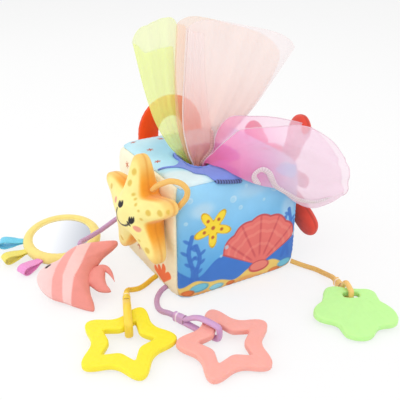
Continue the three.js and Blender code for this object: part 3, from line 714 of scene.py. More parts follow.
def paintFront(u, v, points):
    s = seaSet
    x, z = points[:, 0], points[:, 2]
    c = dabs(seaBase(x, z, s), x, z, s["haze"])
    hill = 34 + 7 * np.sin(0.07 * x + 2.2) + 3 * np.sin(0.16 * x)
    c = over(c, below(z, hill, 0.8), s["hill"])
    for cx, top, sway in s["stems"]:
        line = [(cx + sway * math.sin(k * 0.9), 20 + (top - 20) * k / 8) for k in range(9)]
        c = over(c, 0.85 * stroke(x, z, line, 4.2), s["weed"])
        for k in range(2, 8):  # leaves to either side
            side = (-1) ** k
            leaf = (line[k][0] + 3.6 * side, line[k][1] + 1.5, 3.6, 1.7, 0.5, 38 * side)
            c = over(c, 0.8 * blob(x, z, *leaf), s["weed"])
    sand = 15 + 4.5 * np.sin(0.085 * x - 0.6) + 1.5 * np.sin(0.21 * x)
    c = over(c, below(z, sand, 0.6), s["sand"])
    c = over(c, 0.85 * below(z, 6.5 + 2.5 * np.sin(0.11 * x + 1.0), 2.5), s["wetSand"])
    c = seaStar(shell(c, x, z, s), x, z, s)
    for px, pz, rx, rz, colour in s["pebbles"]:
        top = (px - 0.6, pz + 0.6, rx - 1.4, rz - 1.2)
        c = dabs(c, x, z, [(1, (px, pz, rx, rz), np.array(colour) * 0.86), (1, top, colour)])
    return tone(bubbles(c, x, z, s["bubbles"], s))


def paintSide(u, v, points):
    s = seaSet
    y, z = points[:, 1], points[:, 2]
    hill = 30 + 6 * np.sin(0.075 * y + 0.5) + 3 * np.sin(0.17 * y)
    c = over(seaBase(y, z, s), below(z, hill, 0.8), s["sideHill"])
    c = over(c, below(z, 13 + 4 * np.sin(0.09 * y + 1.8), 0.6), s["sand"])
    c = dabs(c, y, z, [(1, (py, 8, rx, 0.5 * rx), colour) for py, rx, colour in s["sidePebbles"]])
    return tone(bubbles(c, y, z, s["sideBubbles"], s))


def paintCream(axis, coral):
    def paint(u, v, points):
        s = sprigSet
        run, z = points[:, axis], points[:, 2]
        c = over(s["creamLow"], ease(z, 0, 70), s["creamHigh"])
        c = c + 3 * (np.sin(0.11 * run + 1) * np.sin(0.09 * z))[:, None]
        c = sprigs(c, run, z, s["cream"], s["creamTone"])
        if coral:  # a coral low on the panel, near the front seam
            for tip in s["coralTips"]:
                c = over(c, stroke(run, z, [s["coralRoot"], tip], 7.5, 0.7), s["coralTone"])
        return tone(c)
    return paint


def paintTop(u, v, points):
    s = sprigSet
    x, y = points[:, 0], points[:, 1]
    wave = 0.5 + 0.5 * np.sin(0.06 * x - 0.05 * y + 1.2 * np.sin(0.05 * y))
    c = dabs(over(s["topDeep"], wave, s["topPale"]), x, y, s["topHaze"])
    return tone(sprigs(c, x, y, s["top"], s["topTone"]))


def paintBase(u, v, points):
    x, y = points[:, 0], points[:, 1]
    return tone(plain(sprigSet["base"], x) + 5 * (np.sin(0.1 * x) * np.sin(0.12 * y))[:, None])


def makePanels(s):
    middle = (0, 0, s["middle"])
    sides = {  # across, out, paint, slot
        "front": ((1, 0, 0), (0, -1, 0), paintFront, "front_print"),
        "back": ((-1, 0, 0), (0, 1, 0), paintCream(0, False), "cream_print"),
        "left": ((0, -1, 0), (-1, 0, 0), paintCream(1, True), "cream_print"),
        "right": ((0, 1, 0), (1, 0, 0), paintSide, "side_print"),
    }
    for name, (across, out, paint, slotName) in sides.items():
        # the front panel wraps round the left edge
        ends = {"front": (-s["wrap"], 1), "left": (-1, 1 / s["wrap"])}.get(name, (-1, 1))

        def shape(u, v):
            a = ends[0] + (ends[1] - ends[0]) * u
            b = (2 * v - 1) * np.maximum(1, np.abs(a))
            local = panelPoints(a, b, s["half"], s["rise"], s["half"], None, ends)
            return placed(local, (middle, across, (0, 0, 1), out))

        panel = gridPiece(f"{name}_pad", s["cells"], s["cells"], shape, paint)
        closePad(panel, s)
        dress(panel, cloths["printedVelour"], "box", slotName, [f"{name}_panel"])

    def baseShape(u, v):
        local = panelPoints(2 * u - 1, 2 * v - 1, s["half"], s["half"], s["rise"], s["middle"])
        return placed(local, (middle, (1, 0, 0), (0, -1, 0), (0, 0, -1)))

    base = gridPiece("base_pad", s["baseCells"], s["baseCells"], baseShape, paintBase)
    closePad(base, s)
    dress(base, cloths["printedVelour"], "box", "base_cloth", ["base_panel"])


slotSet = {
    "centre": (-8.0, -14.0), "half": (30.0, 26.0), "corner": 22.0, "wall": 2.0, "low": 108.0, "high": 121.6,
    "press": 2.3, "pressAt": 232.0, "pressWidth": 30.0, "gap": 0.15, "margin": 0.4, "ripple": (46, 0.25), "drop": 0.3,
    "sink": (1.2, 1.3), "sinkSoft": (0.05, 0.06),  # the panel's edge at rest, and more where it is pressed
    "cells": (240, 28), "wallFoot": 108.7, "reach": 55.0,  # the opening lies within this reach, the seam outside it
}


def slotLine(margin):
    x, y, r = slotSet["half"][0] - margin, slotSet["half"][1] - margin, slotSet["corner"]
    return roundedOutline([(x, y, r), (-x, y, r), (-x, -y, r), (x, -y, r)], 24)


def pressed(turn):  # share of the edge that the scarves press down
    return bell(np.degrees(turn) - slotSet["pressAt"], slotSet["pressWidth"])


def makeTop(s, slot):
    extent = s["half"] * swell
    cx, cy = np.array(slot["centre"]) / extent  # the opening's middle, in units of the face
    toSeam = lambda start, step: (1 - start * np.sign(step)) / np.maximum(np.abs(step), 1e-9)

    def shape(u, v):
        turn = full * u
        c, n = np.cos(turn), np.sin(turn)
        inner = reachOf(slotLine(-slot["gap"]), (0, 0), turn) / extent
        outer = np.minimum(toSeam(cx, c), toSeam(cy, n))
        r = inner + (outer - inner) * v ** 0.9
        top = panelPoints(cx + r * c, cy + r * n, s["half"], s["half"], s["rise"])
        (sink, sinkMore), (soft, softMore) = slot["sink"], slot["sinkSoft"]
        press = pressed(turn)
        top[:, 2] -= (sink + sinkMore * press) * bell(v, soft + softMore * press)
        top[:, 2] += s["middle"]
        return top

    top = gridPiece("top_pad", *s["topCells"], shape, paintTop, merge=True)
    bm = bmesh.new()
    bm.from_mesh(top.data)
    verts, rims = extruded(bm, rimOf(bm))
    middle = Vector((0, 0, s["middle"] * mm))
    for vert in verts:
        if max(abs(vert.co.x), abs(vert.co.y)) > slot["reach"] * mm:  # the outer seam leans in
            vert.co = middle + (vert.co - middle) * s["padDepth"]
        else:  # the opening's wall drops
            vert.co.z = slot["wallFoot"] * mm
    bmesh.ops.bridge_loops(bm, edges=rims)
    bmesh.ops.recalc_face_normals(bm, faces=bm.faces[:])
    store(bm, top.data)
    dress(top, cloths["printedVelour"], "box", "top_print", ["top_panel"])


def makeOpening(s):
    outer, inner = slotLine(s["margin"]), slotLine(s["margin"] + s["wall"])
    waves, ripple = s["ripple"]

    def shape(u, v):
        turn, roll = full * u, full * v
        far, near = reachOf(outer, (0, 0), turn), reachOf(inner, (0, 0), turn)
        high = s["high"] - s["press"] * pressed(turn)
        r = (far + near) / 2 + (far - near) / 2 * bent(np.cos(roll), 0.5)
        z = (high + s["low"]) / 2 + (high - s["low"]) / 2 * bent(np.sin(roll), 0.35)
        z = z + ripple * np.sin(waves * turn) * ease(np.sin(roll), 0, 1) - s["drop"]
        return ring(r, turn, z, s["centre"])

    cuff = gridPiece("opening_binding", *s["cells"], shape, merge=True)
    dress(cuff, cloths["periwinkleBinding"], "box", "cuff_cloth", ["slot_cuff"])


lipSet = {
    "rear": [(-63.6, -21.2, 117.4), (-46, -25.6, 120.9), (-38.8, -18.4, 122.6), (-39.2, -27, 121.4),
             (-37, -36, 119.9), (-32.5, -40.4, 119.2), (-26, -41, 119.9), (-18.4, -40.6, 121.6), (-6, -39, 122)],
    "front": [(-63.6, -22.2, 117.4), (-47, -32.3, 120), (-43, -42, 120), (-41.3, -50.5, 119.9), (-34, -57, 119),
              (-29.7, -65.4, 115.6), (-2.8, -68, 111.4)],
    "end": [(-29.7, -65.9, 115.9), (-23.6, -67, 114.7), (-16.7, -67.8, 113.5), (-9.6, -68.3, 112.4),
            (-2.8, -68.6, 111.7)],
    "clear": 0.9, "tuck": 2.4, "wrinkle": 0.35, "thick": 0.8, "endSize": 1.7, "endWide": 1.8,
    "stitch": 2.6, "stitchTone": (112, 130, 196), "stitchDip": 0.28, "cells": (80, 40),
}


def rolledEnds(soft):  # taper of a roll that closes at both ends
    return lambda v: 0.35 + 0.65 * ease(np.minimum(v, 1 - v), 0, soft)


def makeLip(s, box):
    rear, front = smoothPath(s["rear"], 80), smoothPath(s["front"], 80)
    power = box["power"]

    def shape(u, v):
        point = along(rear, u) * (1 - v)[:, None] + along(front, u) * v[:, None]
        x, y = np.abs(point[:, :2].T) / (box["half"] * swell)
        dome = np.clip(1 - x ** power - y ** power, 0.02, 1) ** (1 / power)
        cloth = box["middle"] + box["rise"] * swell * dome
        clear = s["clear"] - s["tuck"] * (1 - ease(v, 0, 0.3))
        wrinkle = s["wrinkle"] * np.sin(9 * u + 5 * v) * np.sin(math.pi * v)
        point[:, 2] = np.maximum(point[:, 2], cloth + clear) + wrinkle
        return point

    lip = gridPiece("opening_lip", *s["cells"], shape, flip=True)
    thicken(lip, s["thick"])
    dress(lip, cloths["periwinkleBinding"], "box", "cuff_cloth")
    path = smoothPath(s["end"], 60)
    stitch = hemMaterial("navyStitching", s["stitchTone"], 1.0, pathLength(path) / s["stitch"], s["stitchDip"])
    end = tubePiece("lip_stitched_end", path, s["endSize"], 20, wide=s["endWide"], taper=rolledEnds(0.08))
    dress(end, stitch, "box", "cuff_cloth")
    print("lip area", round(areaOf(lip), 5))


liningSet = {"size": (111.6, 111.6, 98.4), "middle": 58.5, "corner": 9.0, "slack": 0.5, "cuts": 6}


def makeLining(s):
    bm = bmesh.new()
    bmesh.ops.create_cube(bm, size=1)
    bmesh.ops.delete(bm, geom=[f for f in bm.faces if f.normal.z > 0.5], context="FACES_ONLY")
    bmesh.ops.scale(bm, vec=[size * mm for size in s["size"]], verts=bm.verts[:])
    bmesh.ops.translate(bm, vec=(0, 0, s["middle"] * mm), verts=bm.verts[:])
    upright = [e for e in bm.edges if abs(e.verts[0].co.z - e.verts[1].co.z) > s["size"][2] / 2 * mm]
    bmesh.ops.bevel(bm, geom=upright, offset=s["corner"] * mm, segments=5, profile=0.5, affect="EDGES", material=-1)
    bmesh.ops.subdivide_edges(bm, edges=bm.edges[:], cuts=s["cuts"], use_grid_fill=True)
    for vert in bm.verts:  # slack folds in the bag
        wave = s["slack"] * mm * math.sin(vert.co.z * 160 + vert.co.x * 90) * math.cos(vert.co.y * 110)
        vert.co.x += wave
        vert.co.y += wave
    lining = pieceFrom("lining_bag", bm)
    dress(lining, cloths["liningCotton"], "box", "lining_cloth", ["inner_lining"])


makePanels(boxSet)
makeTop(boxSet, slotSet)
makeOpening(slotSet)
makeLip(lipSet, boxSet)
makeLining(liningSet)
print("box")


# scarves: folded chiffon gathered in the opening, with straight tails in the box

tailEnd, tailShare = 10.9, 0.22
hemSet = {
    "radius": 0.5, "stitch": 2.4, "alpha": 0.06, "fold": 0.7, "foldOut": (0.3, 0.5, 0), "foldAlpha": 0.6,
    "foldStitches": 60, "rolledWide": 0.5, "rolledAlpha": 0.72, "rolledDip": 0.8,
}
scarfSet = {  # edge, far and flap are lines of x and z
    "lime": {
        "y": -14, "neckTop": 110, "tail": (-33, -15, -17), "pleats": 7, "fold": 0.46, "front": 0.92, "frontWave": 0.5,
        "gap": 1.6, "crown": 11, "waves": 2.0, "wave": 1.3,
        "edge": [(-26, 110), (-31, 116), (-35.2, 121.6), (-40.4, 126.6), (-47, 134.5), (-60.5, 159.5),
                 (-69.4, 187.3), (-76.5, 218), (-79.2, 231)],
        "far": [(-22, 110), (-24.5, 124.6), (-30, 140), (-36.4, 170), (-38, 205), (-36, 242)],
        "flap": [(-22.5, 110), (-25.5, 124.6), (-32, 140), (-39, 170), (-41.5, 205), (-42.5, 236)],
        "deep": (240, 254, 126), "pale": (244, 255, 150), "fade": (0.02, 0.55), "alpha": 0.5, "hem": (240, 255, 140),
        "flat": (0.075, 0.18)},
    "orange": {
        "y": -20, "neckTop": 112, "tail": (-30, -12, -26), "pleats": 7, "fold": 0.16, "front": 1.0, "frontWave": 0.1,
        "gap": 1.2, "crown": 13, "waves": 2.5, "wave": 1.2,
        "edge": [(-27, 112), (-28.8, 116), (-34, 127.3), (-38.3, 139), (-42, 155), (-44, 198), (-41, 244)],
        "far": [(-23.5, 112), (-14, 124.6), (10, 137), (36.4, 157), (49.6, 172), (62.6, 189.7), (68.7, 203),
                (69, 211)],
        "flap": [(-26, 112), (-27.2, 116), (-30.5, 127.3), (-33, 139), (-36, 162), (-36, 198), (-33, 242)],
        "deep": (255, 202, 160), "pale": (255, 210, 172), "fade": (0.02, 0.55), "alpha": 0.36, "hem": (255, 216, 180),
        "flat": (0.11, 0.18)},
    "blush": {
        "y": -26, "neckTop": 114, "tail": (-28, -10, -26.5), "pleats": 8, "fold": 0.24, "front": 0.97,
        "frontWave": 0.3, "gap": 1.7, "crown": 11.5, "waves": 3.0, "wave": 1.4,
        "edge": [(-27.6, 114), (-29.2, 118.2), (-33.6, 129.3), (-36.2, 140.5), (-38.3, 153.1), (-38.6, 172),
                 (-35.3, 215), (-33, 241.5)],
        "far": [(-22.5, 114), (-8, 126), (6, 136), (36, 159), (62, 188), (84, 214)],
        "flap": [(-24, 114), (-17.4, 121.4), (-10.4, 128.8), (-9, 141), (-14, 170), (-17.5, 205), (-19, 240)],
        "rolled": [(0.006, 0.24), (0.006, 0.3), (0.006, 0.36), (0.006, 0.42), (0.006, 0.47)],
        "rolledOut": (0.2, -0.8, 0), "rolledSize": 2.0, "rolledTone": (255, 208, 200),
        "deep": (255, 190, 178), "pale": (255, 238, 238), "fade": (0.12, 0.9), "alpha": 0.48, "hem": (255, 226, 224),
        "foldLine": (255, 240, 238), "flat": (0.12, 0.18)},
}
roseSet = {
    "y": -32, "neckTop": 116.8, "neck": (-21, 1.6), "tail": (-12, 9), "pleats": 8, "fold": 0.52, "gap": 1.5,
    "near": [(-22.4, -33, 116.8), (-19.4, -34.5, 121.5), (-16.6, -38, 129), (-13.2, -45, 138.5), (-6.9, -52, 147.9),
             (0.3, -57, 155.7), (11.4, -61, 157), (23.3, -64, 156.6), (37.7, -67, 156.1), (53.6, -70, 155.3),
             (70.7, -71, 149.9), (97, -72, 132), (111.6, -73, 114.6)],
    "back": [(-19, -31, 116.8), (-10, -31, 130), (-8, -31, 142), (-2.4, -32, 153), (7.7, -33, 159.6),
             (30.9, -35, 157), (47.8, -39, 155), (62.7, -46, 152), (81.8, -57, 145.2), (97, -64, 130),
             (109, -70, 112)],
    "low": [(-21, -34, 116.4), (-21, -40, 120.9), (-20.4, -47, 122.4), (-15.5, -57, 121.9), (-10.8, -66, 118.6),
            (-6.1, -72, 115.9), (2.4, -74.5, 110.7), (15.5, -76, 104.4), (30.4, -77, 98.5), (43.2, -77.5, 88.8),
            (54.6, -78, 78.9), (74.9, -79, 68.5), (97, -80, 70), (112, -80, 75)],
    "bulge": (0, -7, 5), "wave": 1.5, "waves": 2.2,
    "rolled": [(0.506, 0.509), (0.476, 0.474), (0.428, 0.47), (0.382, 0.502), (0.398, 0.529), (0.448, 0.552),
               (0.5, 0.589), (0.504, 0.648), (0.496, 0.713), (0.478, 0.781), (0.456, 0.842), (0.442, 0.894)],
    "rolledOut": (-0.2, -1.3, 0.3), "rolledSize": 3.0, "rolledTone": (255, 240, 246),
    "deep": (255, 132, 194), "pale": (255, 224, 242), "fade": (0.12, 0.62), "alpha": 0.54, "hem": (255, 226, 238),
    "hemAlpha": 0.5, "flat": (0.16, 0.22),
}


def risen(v):  # share of the way from the opening to the top edge
    return np.clip((v - tailShare) / (1 - tailShare), 0, 1)


def foldOf(s, u, soft):  # which layer, share of the way from the fold, and side of the middle
    front = u < s["fold"]
    f = np.where(front, 1 - u / s["fold"], (u - s["fold"]) / (1 - s["fold"]))
    return front, f, np.where(front, -1.0, 1.0) * ease(f, -0.02, soft)


def tailOf(s, v, z):  # height with the tail, and how far the gathers spread again below the opening
    z = np.where(v < tailShare, tailEnd + (s["neckTop"] - tailEnd) * np.clip(v / tailShare, 0, 1), z)
    return z, ease(s["neckTop"] - z, 2, 26)


def foldedSheet(s, u, v):
    rise = risen(v)
    front, f, side = foldOf(s, u, 0.06)
    run = rise * np.where(front, s["front"] + (1 - s["front"]) * (1 - ease(f, 0, 0.25)), 1.0)
    level = lambda line: along(smoothPath(s[line], 120), run)
    edge, target = level("edge"), np.where(front[:, None], level("flap"), level("far"))
    flat = edge + (target - edge) * f[:, None]
    flat[:, 1] += np.where(front, 0.12, 1.0) * s["crown"] * (1 - np.abs(2 * f - 1) ** 5) * rise ** 3
    grown = ease(rise, 0, 0.55)
    pleat = np.sin(full * s["pleats"] * u)
    drape = np.sin(full * s["waves"] * f + 0.6) + 0.45 * np.sin(full * 2.3 * s["waves"] * f + 1.9)
    sway = s["wave"] * grown * (0.55 + 0.45 * rise) * drape * np.where(front, s["frontWave"], 1)
    depth = s["y"] + side * (0.5 + (s["gap"] - 0.5) * grown) + 1.3 * (1 - ease(rise, 0, 0.32)) * pleat + sway
    z, spread = tailOf(s, v, flat[:, 1])
    near, away, flap = s["tail"]
    tailX = near + (np.where(front, flap, away) - near) * f
    return np.column_stack([flat[:, 0] * (1 - spread) + tailX * spread, depth, z])


def roseSheet(s, u, v):
    rise = risen(v)
    front, f, side = foldOf(s, u, 0.08)
    level = lambda line: along(smoothPath(s[line], 160), rise)
    low, target = level("low"), np.where(front[:, None], level("near"), level("back"))
    p = low + (target - low) * f[:, None]
    grown = ease(rise, 0, 0.4)
    swellOut = (1 - (2 * f - 1) ** 2) * grown * np.where(front, 1.0, 0.25)
    p += swellOut[:, None] * np.array(s["bulge"])
    drape = np.sin(full * s["waves"] * f + 3 * rise) + 0.5 * np.sin(full * 1.7 * s["waves"] * f + 1.1)
    p[:, 1] += side * s["gap"] * grown + s["wave"] * grown * drape * np.where(front, 0.6, 0.8)
    z, spread = tailOf(s, v, p[:, 2])
    across = 2 * np.where(front, 1 - f, f) - 1
    (neckX, neckHalf), (tailX, tailHalf) = s["neck"], s["tail"]
    gatherX = (neckX + neckHalf * across) * (1 - spread) + (tailX + tailHalf * across) * spread
    gather = np.column_stack([gatherX, s["y"] + 0.8 * side + 1.4 * np.sin(full * s["pleats"] * u), z])
    return gather + (p - gather) * ease(rise, 0, 0.1)[:, None]


def hemPath(sheetPoint, count=170):  # up one edge, along the top and down the other
    t, one = np.linspace(0, 1, count), np.ones(count)
    low = tailShare + 0.005
    run = low + (1 - low) * t
    loop = [sheetPoint(0 * one, run), sheetPoint(t, one)[1:], sheetPoint(one, run[::-1])[1:]]
    return evenPath(np.vstack(loop), 300)


def makeScarf(name, s, form, cells):
    h, sheetPoint = hemSet, lambda u, v: form(s, u, v)
    body, slotName = f"{name}_scarf", f"chiffon_{name}"
    stitches = lambda path: pathLength(path) / h["stitch"]
    paint = lambda u, v, points: tone(over(s["deep"], ease(risen(v), *s["fade"]), s["pale"]))
    sheet = gridPiece(f"{name}_chiffon", *cells, sheetPoint, paint)
    dress(sheet, chiffonMaterial(f"{name}Chiffon", s["alpha"]), body, slotName, [f"scarf_{name}"])
    path = hemPath(sheetPoint)
    hem = tubePiece(f"{name}_hem", path, h["radius"], 8)
    thread = hemMaterial(f"{name}Hem", s["hem"], s.get("hemAlpha", h["alpha"]), stitches(path))
    dress(hem, thread, body, slotName)
    if "foldLine" in s:  # the pressed fold at the near edge
        climb = np.linspace(tailShare, 1, 120)
        path = sheetPoint(0 * climb + s["fold"], climb) - h["foldOut"]
        crease = tubePiece(f"{name}_pressed_fold", path, h["fold"], 8)
        dress(crease, hemMaterial(f"{name}Fold", s["foldLine"], h["foldAlpha"], h["foldStitches"]), body, slotName)
    if "rolled" in s:  # a rolled corner of the hem that lies on the cloth
        spots = smoothPath(s["rolled"], 90)
        path = sheetPoint(spots[:, 0], spots[:, 1]) + s["rolledOut"]
        taper = lambda v: rolledEnds(0.06)(v) - 0.15 * ease(v, 0.3, 0.5)
        rolled = tubePiece(f"{name}_rolled_hem", path, s["rolledSize"], 12, wide=h["rolledWide"], taper=taper)
        thread = hemMaterial(f"{name}RolledHem", s["rolledTone"], h["rolledAlpha"], stitches(path), h["rolledDip"])
        dress(rolled, thread, body, slotName)
    print("scarf", name, "area", round(areaOf(sheet), 4))


for scarf, settings in scarfSet.items():
    makeScarf(scarf, settings, foldedSheet, (120, 130))
makeScarf("rose", roseSet, roseSheet, (130, 150))
print("scarves")


# carry handle on the back panel

handleSet = {
    "y": 76.5, "foot": 93.0, "half": 26.5, "shoulder": 116.0, "rise": 28.5, "wide": 11.5, "thick": 6.5,
    "tone": (250, 80, 16), "seamTone": (205, 60, 24), "cells": (48, 119),
}


def makeHandle(s):
    turns = np.linspace(math.pi, 0, 17)
    arch = [(s["half"] * math.cos(t), s["y"], s["shoulder"] + s["rise"] * math.sin(t)) for t in turns]
    feet = [(x, s["y"], s["foot"]) for x in (-s["half"], s["half"])]
    path = smoothPath([feet[0], *arch, feet[1]], 120)
    ahead = np.gradient(path, axis=0)
    ahead /= np.linalg.norm(ahead, axis=1)[:, None]
    outward = np.cross(ahead, (0, 1.0, 0))

    def shape(u, v):
        c, n = np.cos(full * u), np.sin(full * u)
        end = 0.7 + 0.3 * ease(np.minimum(v, 1 - v), 0, 0.02) ** 0.5
        crease = 1 - 0.05 * bell(np.abs(c) - 1, 0.01)
        pucker = 1 + 0.012 * np.sin(180 * v) * np.abs(c) ** 6
        wide = (s["wide"] * crease * pucker * end * c)[:, None] * along(outward, v)
        return along(path, v) + wide + np.outer(s["thick"] * n * end, (0, 1, 0))

    def paint(u, v, points):
        seam = bell(np.abs(np.cos(full * u)) - 1, 0.004)
        return tone(over(s["tone"], 0.5 * seam, s["seamTone"]))

    handle = gridPiece("handle_arch", *s["cells"], shape, paint, merge=True, close=True)
    dress(handle, cloths["handlePlush"], "box", "handle_plush", ["rear_handle"])


makeHandle(handleSet)
print("handle")


# plush toys: pillows drawn from an outline, seen from local +Z

def evenRings(v, boxy, shoulder=0.93, part=0.72):
    # spreads the rings evenly over a flat face, and keeps some for its rounded edge
    w = 1 - np.abs(2 * v - 1)
    bend = math.asin(shoulder ** (boxy / 2))
    face = np.arcsin((shoulder * np.clip(w / part, 0, 1)) ** (boxy / 2))
    dip = np.where(w < part, face, bend + (math.pi / 2 - bend) * (w - part) / (1 - part))
    return np.where(v < 0.5, dip / math.pi, 1 - dip / math.pi)


def pillow(name, place, outline, centre, half, boxy, cells, paint, lift=None, even=False):
    spin = np.linspace(0, full, 721)
    reach = reachOf(outline, centre, spin)
    down = (lambda v: evenRings(v, boxy)) if even else (lambda v: v)
    kept = {}

    def shape(u, v):
        turn, dip = full * u, math.pi * down(v)
        far = np.interp(turn, spin, reach)
        r = far * np.abs(np.sin(dip)) ** (2 / boxy)
        local = ring(r, turn, half * bent(np.cos(dip), 2 / boxy), centre)
        kept["local"] = lift(local, r / far) if lift else local
        return placed(kept["local"], place)

    return gridPiece(name, *cells, shape, lambda u, v, points: paint(kept["local"], u, down(v)), merge=True)


starfishSet = {
    "place": ((-85.3, -30.5, 87.4), (0.1495, -0.9888, 0), (0.0879, 0.0133, 0.996), (-0.9848, -0.1489, 0.0889)),
    "reach": 52.0, "root": 15.0, "tip": 9.0, "roll": 2.6, "armTurn": (0, -6, 4, 0, 0), "webbing": 0.45, "skin": -6.5,
    "half": 8.5, "boxy": 4.4, "dome": 13.0, "domeReach": 27.0, "domeAt": -4.0, "bend": 3.6, "bendAt": 158.6,
    "spots": [(0.6, 37.5, 3.0), (-0.6, 27.4, 2.7), (26.9, 8.6, 2.8), (39.3, 12.3, 3.0), (48, 15.8, 2.4),
              (24.4, -29.1, 3.0), (-31, 14, 2.6), (-16, -33, 2.6), (6.7, 19.2, 1.3), (9.4, 15.7, 1.0),
              (12.8, 12, 1.3), (17.2, 7.7, 1.1), (19.9, 0.5, 1.3), (16, -22, 1.2)],
    # middle, half width, half height
    "eyes": [((-3.3, 7.9), (3.4, 1.2), (-0.5, 3.3)), ((10.7, -3.1), (3.0, 0.9), (0.5, 3.9))],
    "cheeks": [((15.2, -10.3), (3.7, -0.9), (0.4, 2.7)), ((-13.2, 8.3), (2.1, 0.8), (-1.2, 2.7))],
    "smile": [(-7.1, 2.8), (-8.5, -2.7), (-7.8, -9.0), (-3.5, -11.8), (3.3, -10.8), (7.9, -7.5)],
    "smileEnd": [(6.6, -6.0), (8.8, -8.8)], "smileWidth": 1.7, "cells": (320, 160),
    "face": (255, 242, 160), "faceEdge": (255, 232, 132), "tipSide": (255, 212, 122), "side": (254, 168, 50),
    "seamTone": (228, 136, 40), "spotTone": (228, 190, 78), "cheekTone": (240, 150, 136), "eyeTone": (38, 34, 40),
    "smileTone": (44, 38, 44),
}


def starfishOutline(s):  # a soft skin round five rows of discs
    spin = np.linspace(0, full, 361)[:-1]
    discs = []
    for arm, turn in enumerate(s["armTurn"]):
        angle = math.radians(90 + s["roll"] + turn + 72 * arm)
        for t in np.linspace(0, 1, 24):
            out = t * (s["reach"] - s["tip"])
            discs.append((out * math.cos(angle), out * math.sin(angle), s["root"] + (s["tip"] - s["root"]) * t))
    discs = np.array(discs)
    lo, hi = np.full(360, 5.0), np.full(360, 70.0)
    for step in range(30):
        mid = (lo + hi) / 2
        x, y = mid * np.cos(spin), mid * np.sin(spin)
        gap = np.hypot(x[:, None] - discs[:, 0], y[:, None] - discs[:, 1]) - discs[:, 2]
        field = -np.log(np.exp(-s["webbing"] * np.clip(gap, -60, 60)).sum(axis=1)) / s["webbing"]
        inside = field < s["skin"]
        lo, hi = np.where(inside, mid, lo), np.where(inside, hi, mid)
    outline = np.column_stack([lo * np.cos(spin), lo * np.sin(spin)])
    return outline * (s["reach"] / np.hypot(*outline.T).max())


def alongAxes(x, y, middle, across, up):
    dx, dy = x - middle[0], y - middle[1]
    turn = across[0] * up[1] - across[1] * up[0]
    return (dx * up[1] - dy * up[0]) / turn, (dy * across[0] - dx * across[1]) / turn


def makeStarfish(s):
    outline = starfishOutline(s)
    reach = np.hypot(*outline.T)

    def paint(p, u, v):
        x, y, z = p.T
        c = over(s["face"], 0.5 * ease(np.hypot(x, y), 12, 50), s["faceEdge"])
        rim = np.interp(full * u, np.linspace(0, full, 361), np.append(reach, reach[0]))
        side = over(s["tipSide"], ease(rim, 48, 28), s["side"])
        side = over(side, 0.4 * bell(v - 0.5, 0.006), s["seamTone"])
        c = over(c, ease(np.sin(math.pi * v), 0.68, 0.95) * (v < 0.5) + (v >= 0.5), side)
        face = v < 0.42
        c = dabs(c, x, y, [(face * 0.85, (sx, sy, sr, sr, 0.8), s["spotTone"]) for sx, sy, sr in s["spots"]])
        for cheek in s["cheeks"]:
            c = over(c, face * 0.85 * below(np.hypot(*alongAxes(x, y, *cheek)), 0.95, 0.2), s["cheekTone"])
        for eye in s["eyes"]:  # round below, three lashes above
            a, b = alongAxes(x, y, *eye)
            lashes = 0.3 + 0.7 * np.abs(np.cos(1.5 * math.pi * np.clip(a, -1, 1))) ** 0.7
            outside = np.maximum(np.where(b < 0, np.hypot(a, b), np.abs(a)) - 1, b - lashes)
            c = over(c, face * below(outside, 0, 0.1), s["eyeTone"])
        for line in (smoothPath(s["smile"], 24)[:, :2], s["smileEnd"]):
            c = over(c, face * stroke(x, y, line, s["smileWidth"], 0.3), s["smileTone"])
        return tone(c)

    def lift(p, share):
        dome = bell(np.hypot(p[:, 0] - s["domeAt"], p[:, 1]), s["domeReach"])
        p[:, 2] += np.sign(p[:, 2]) * s["dome"] * dome * (1 - share ** 6)
        out = np.clip(p[:, :2] @ compass(s["bendAt"]) / s["reach"], 0, 1)
        p[:, 2] += s["bend"] * out ** 2  # the rear upper arm curls outwards
        return p

    star = pillow("starfish_plush", s["place"], outline, (0, 0), s["half"], s["boxy"], s["cells"], paint, lift, True)
    arms = [f"starfish_arm_{arm}" for arm in ("top", "rear_upper", "rear_lower", "front_lower", "front_upper")]
    dress(star, cloths["starfishPlush"], "starfish", "starfish_plush", ["starfish_body", *arms])


makeStarfish(starfishSet)
print("starfish")

fishSet = {
    "place": ((-155.1, 3, 17.05), (0.8903, -0.4546, 0.0253), (0.3951, 0.799, 0.4533), (-0.2263, -0.3936, 0.891)),
    "outline": [(-24, 0), (-20, -10), (-10, -20), (2, -25), (14, -30.5), (27, -35.5), (31.5, -36), (31.5, -30),
                (27.5, -18), (26, -6), (28, 6), (33, 14), (38, 22), (45, 29), (51, 35), (50.5, 39), (44, 40),
                (29, 39), (14, 36), (3, 28), (-4, 19), (-15, 13), (-22, 7.5)],
    "tail": [(23, -7), (27, -10), (35.5, -16.3), (46.4, -16.7), (42.8, -10.8), (40.3, -2), (40.2, 3), (39.5, 8.5),
             (35.5, 11.6), (30, 10.6), (23, 4)],
    "curl": [(31, 3, 0), (35.5, 8.6, 0), (40, 8.6, 0), (44, 4.8, 0), (47, -0.6, 0), (49.2, -6.1, 0)],
    "stripes": [((-25, -5.6, 6.3, 22.5), (-7.5, -7, -4.2, 1.0)), ((-30, -3.2, 11.9, 27.4), (3, 2.5, 6.5, 12.0)),
                ((-32, -5.2, 11.2, 34), (10.6, 13, 19.7, 25.1))],  # edges of the bands, y and x
    "light": (254, 208, 205), "nose": (255, 222, 220), "band": (251, 172, 166), "coral": (246, 156, 148),
    "seamTone": (214, 120, 116), "seam": 0.997, "eye": (-12.9, 8.8), "eyeStep": (1.3, 1.2), "eyeWidth": 2.8,
    "eyeTone": (40, 34, 38), "curlSize": 4.4,
    "body": ((8, 4), 11.5, 2.6, (260, 72)), "tailPad": ((33, -2), 5.0, 2.4, (160, 48)),  # centre, half, boxy, cells
}


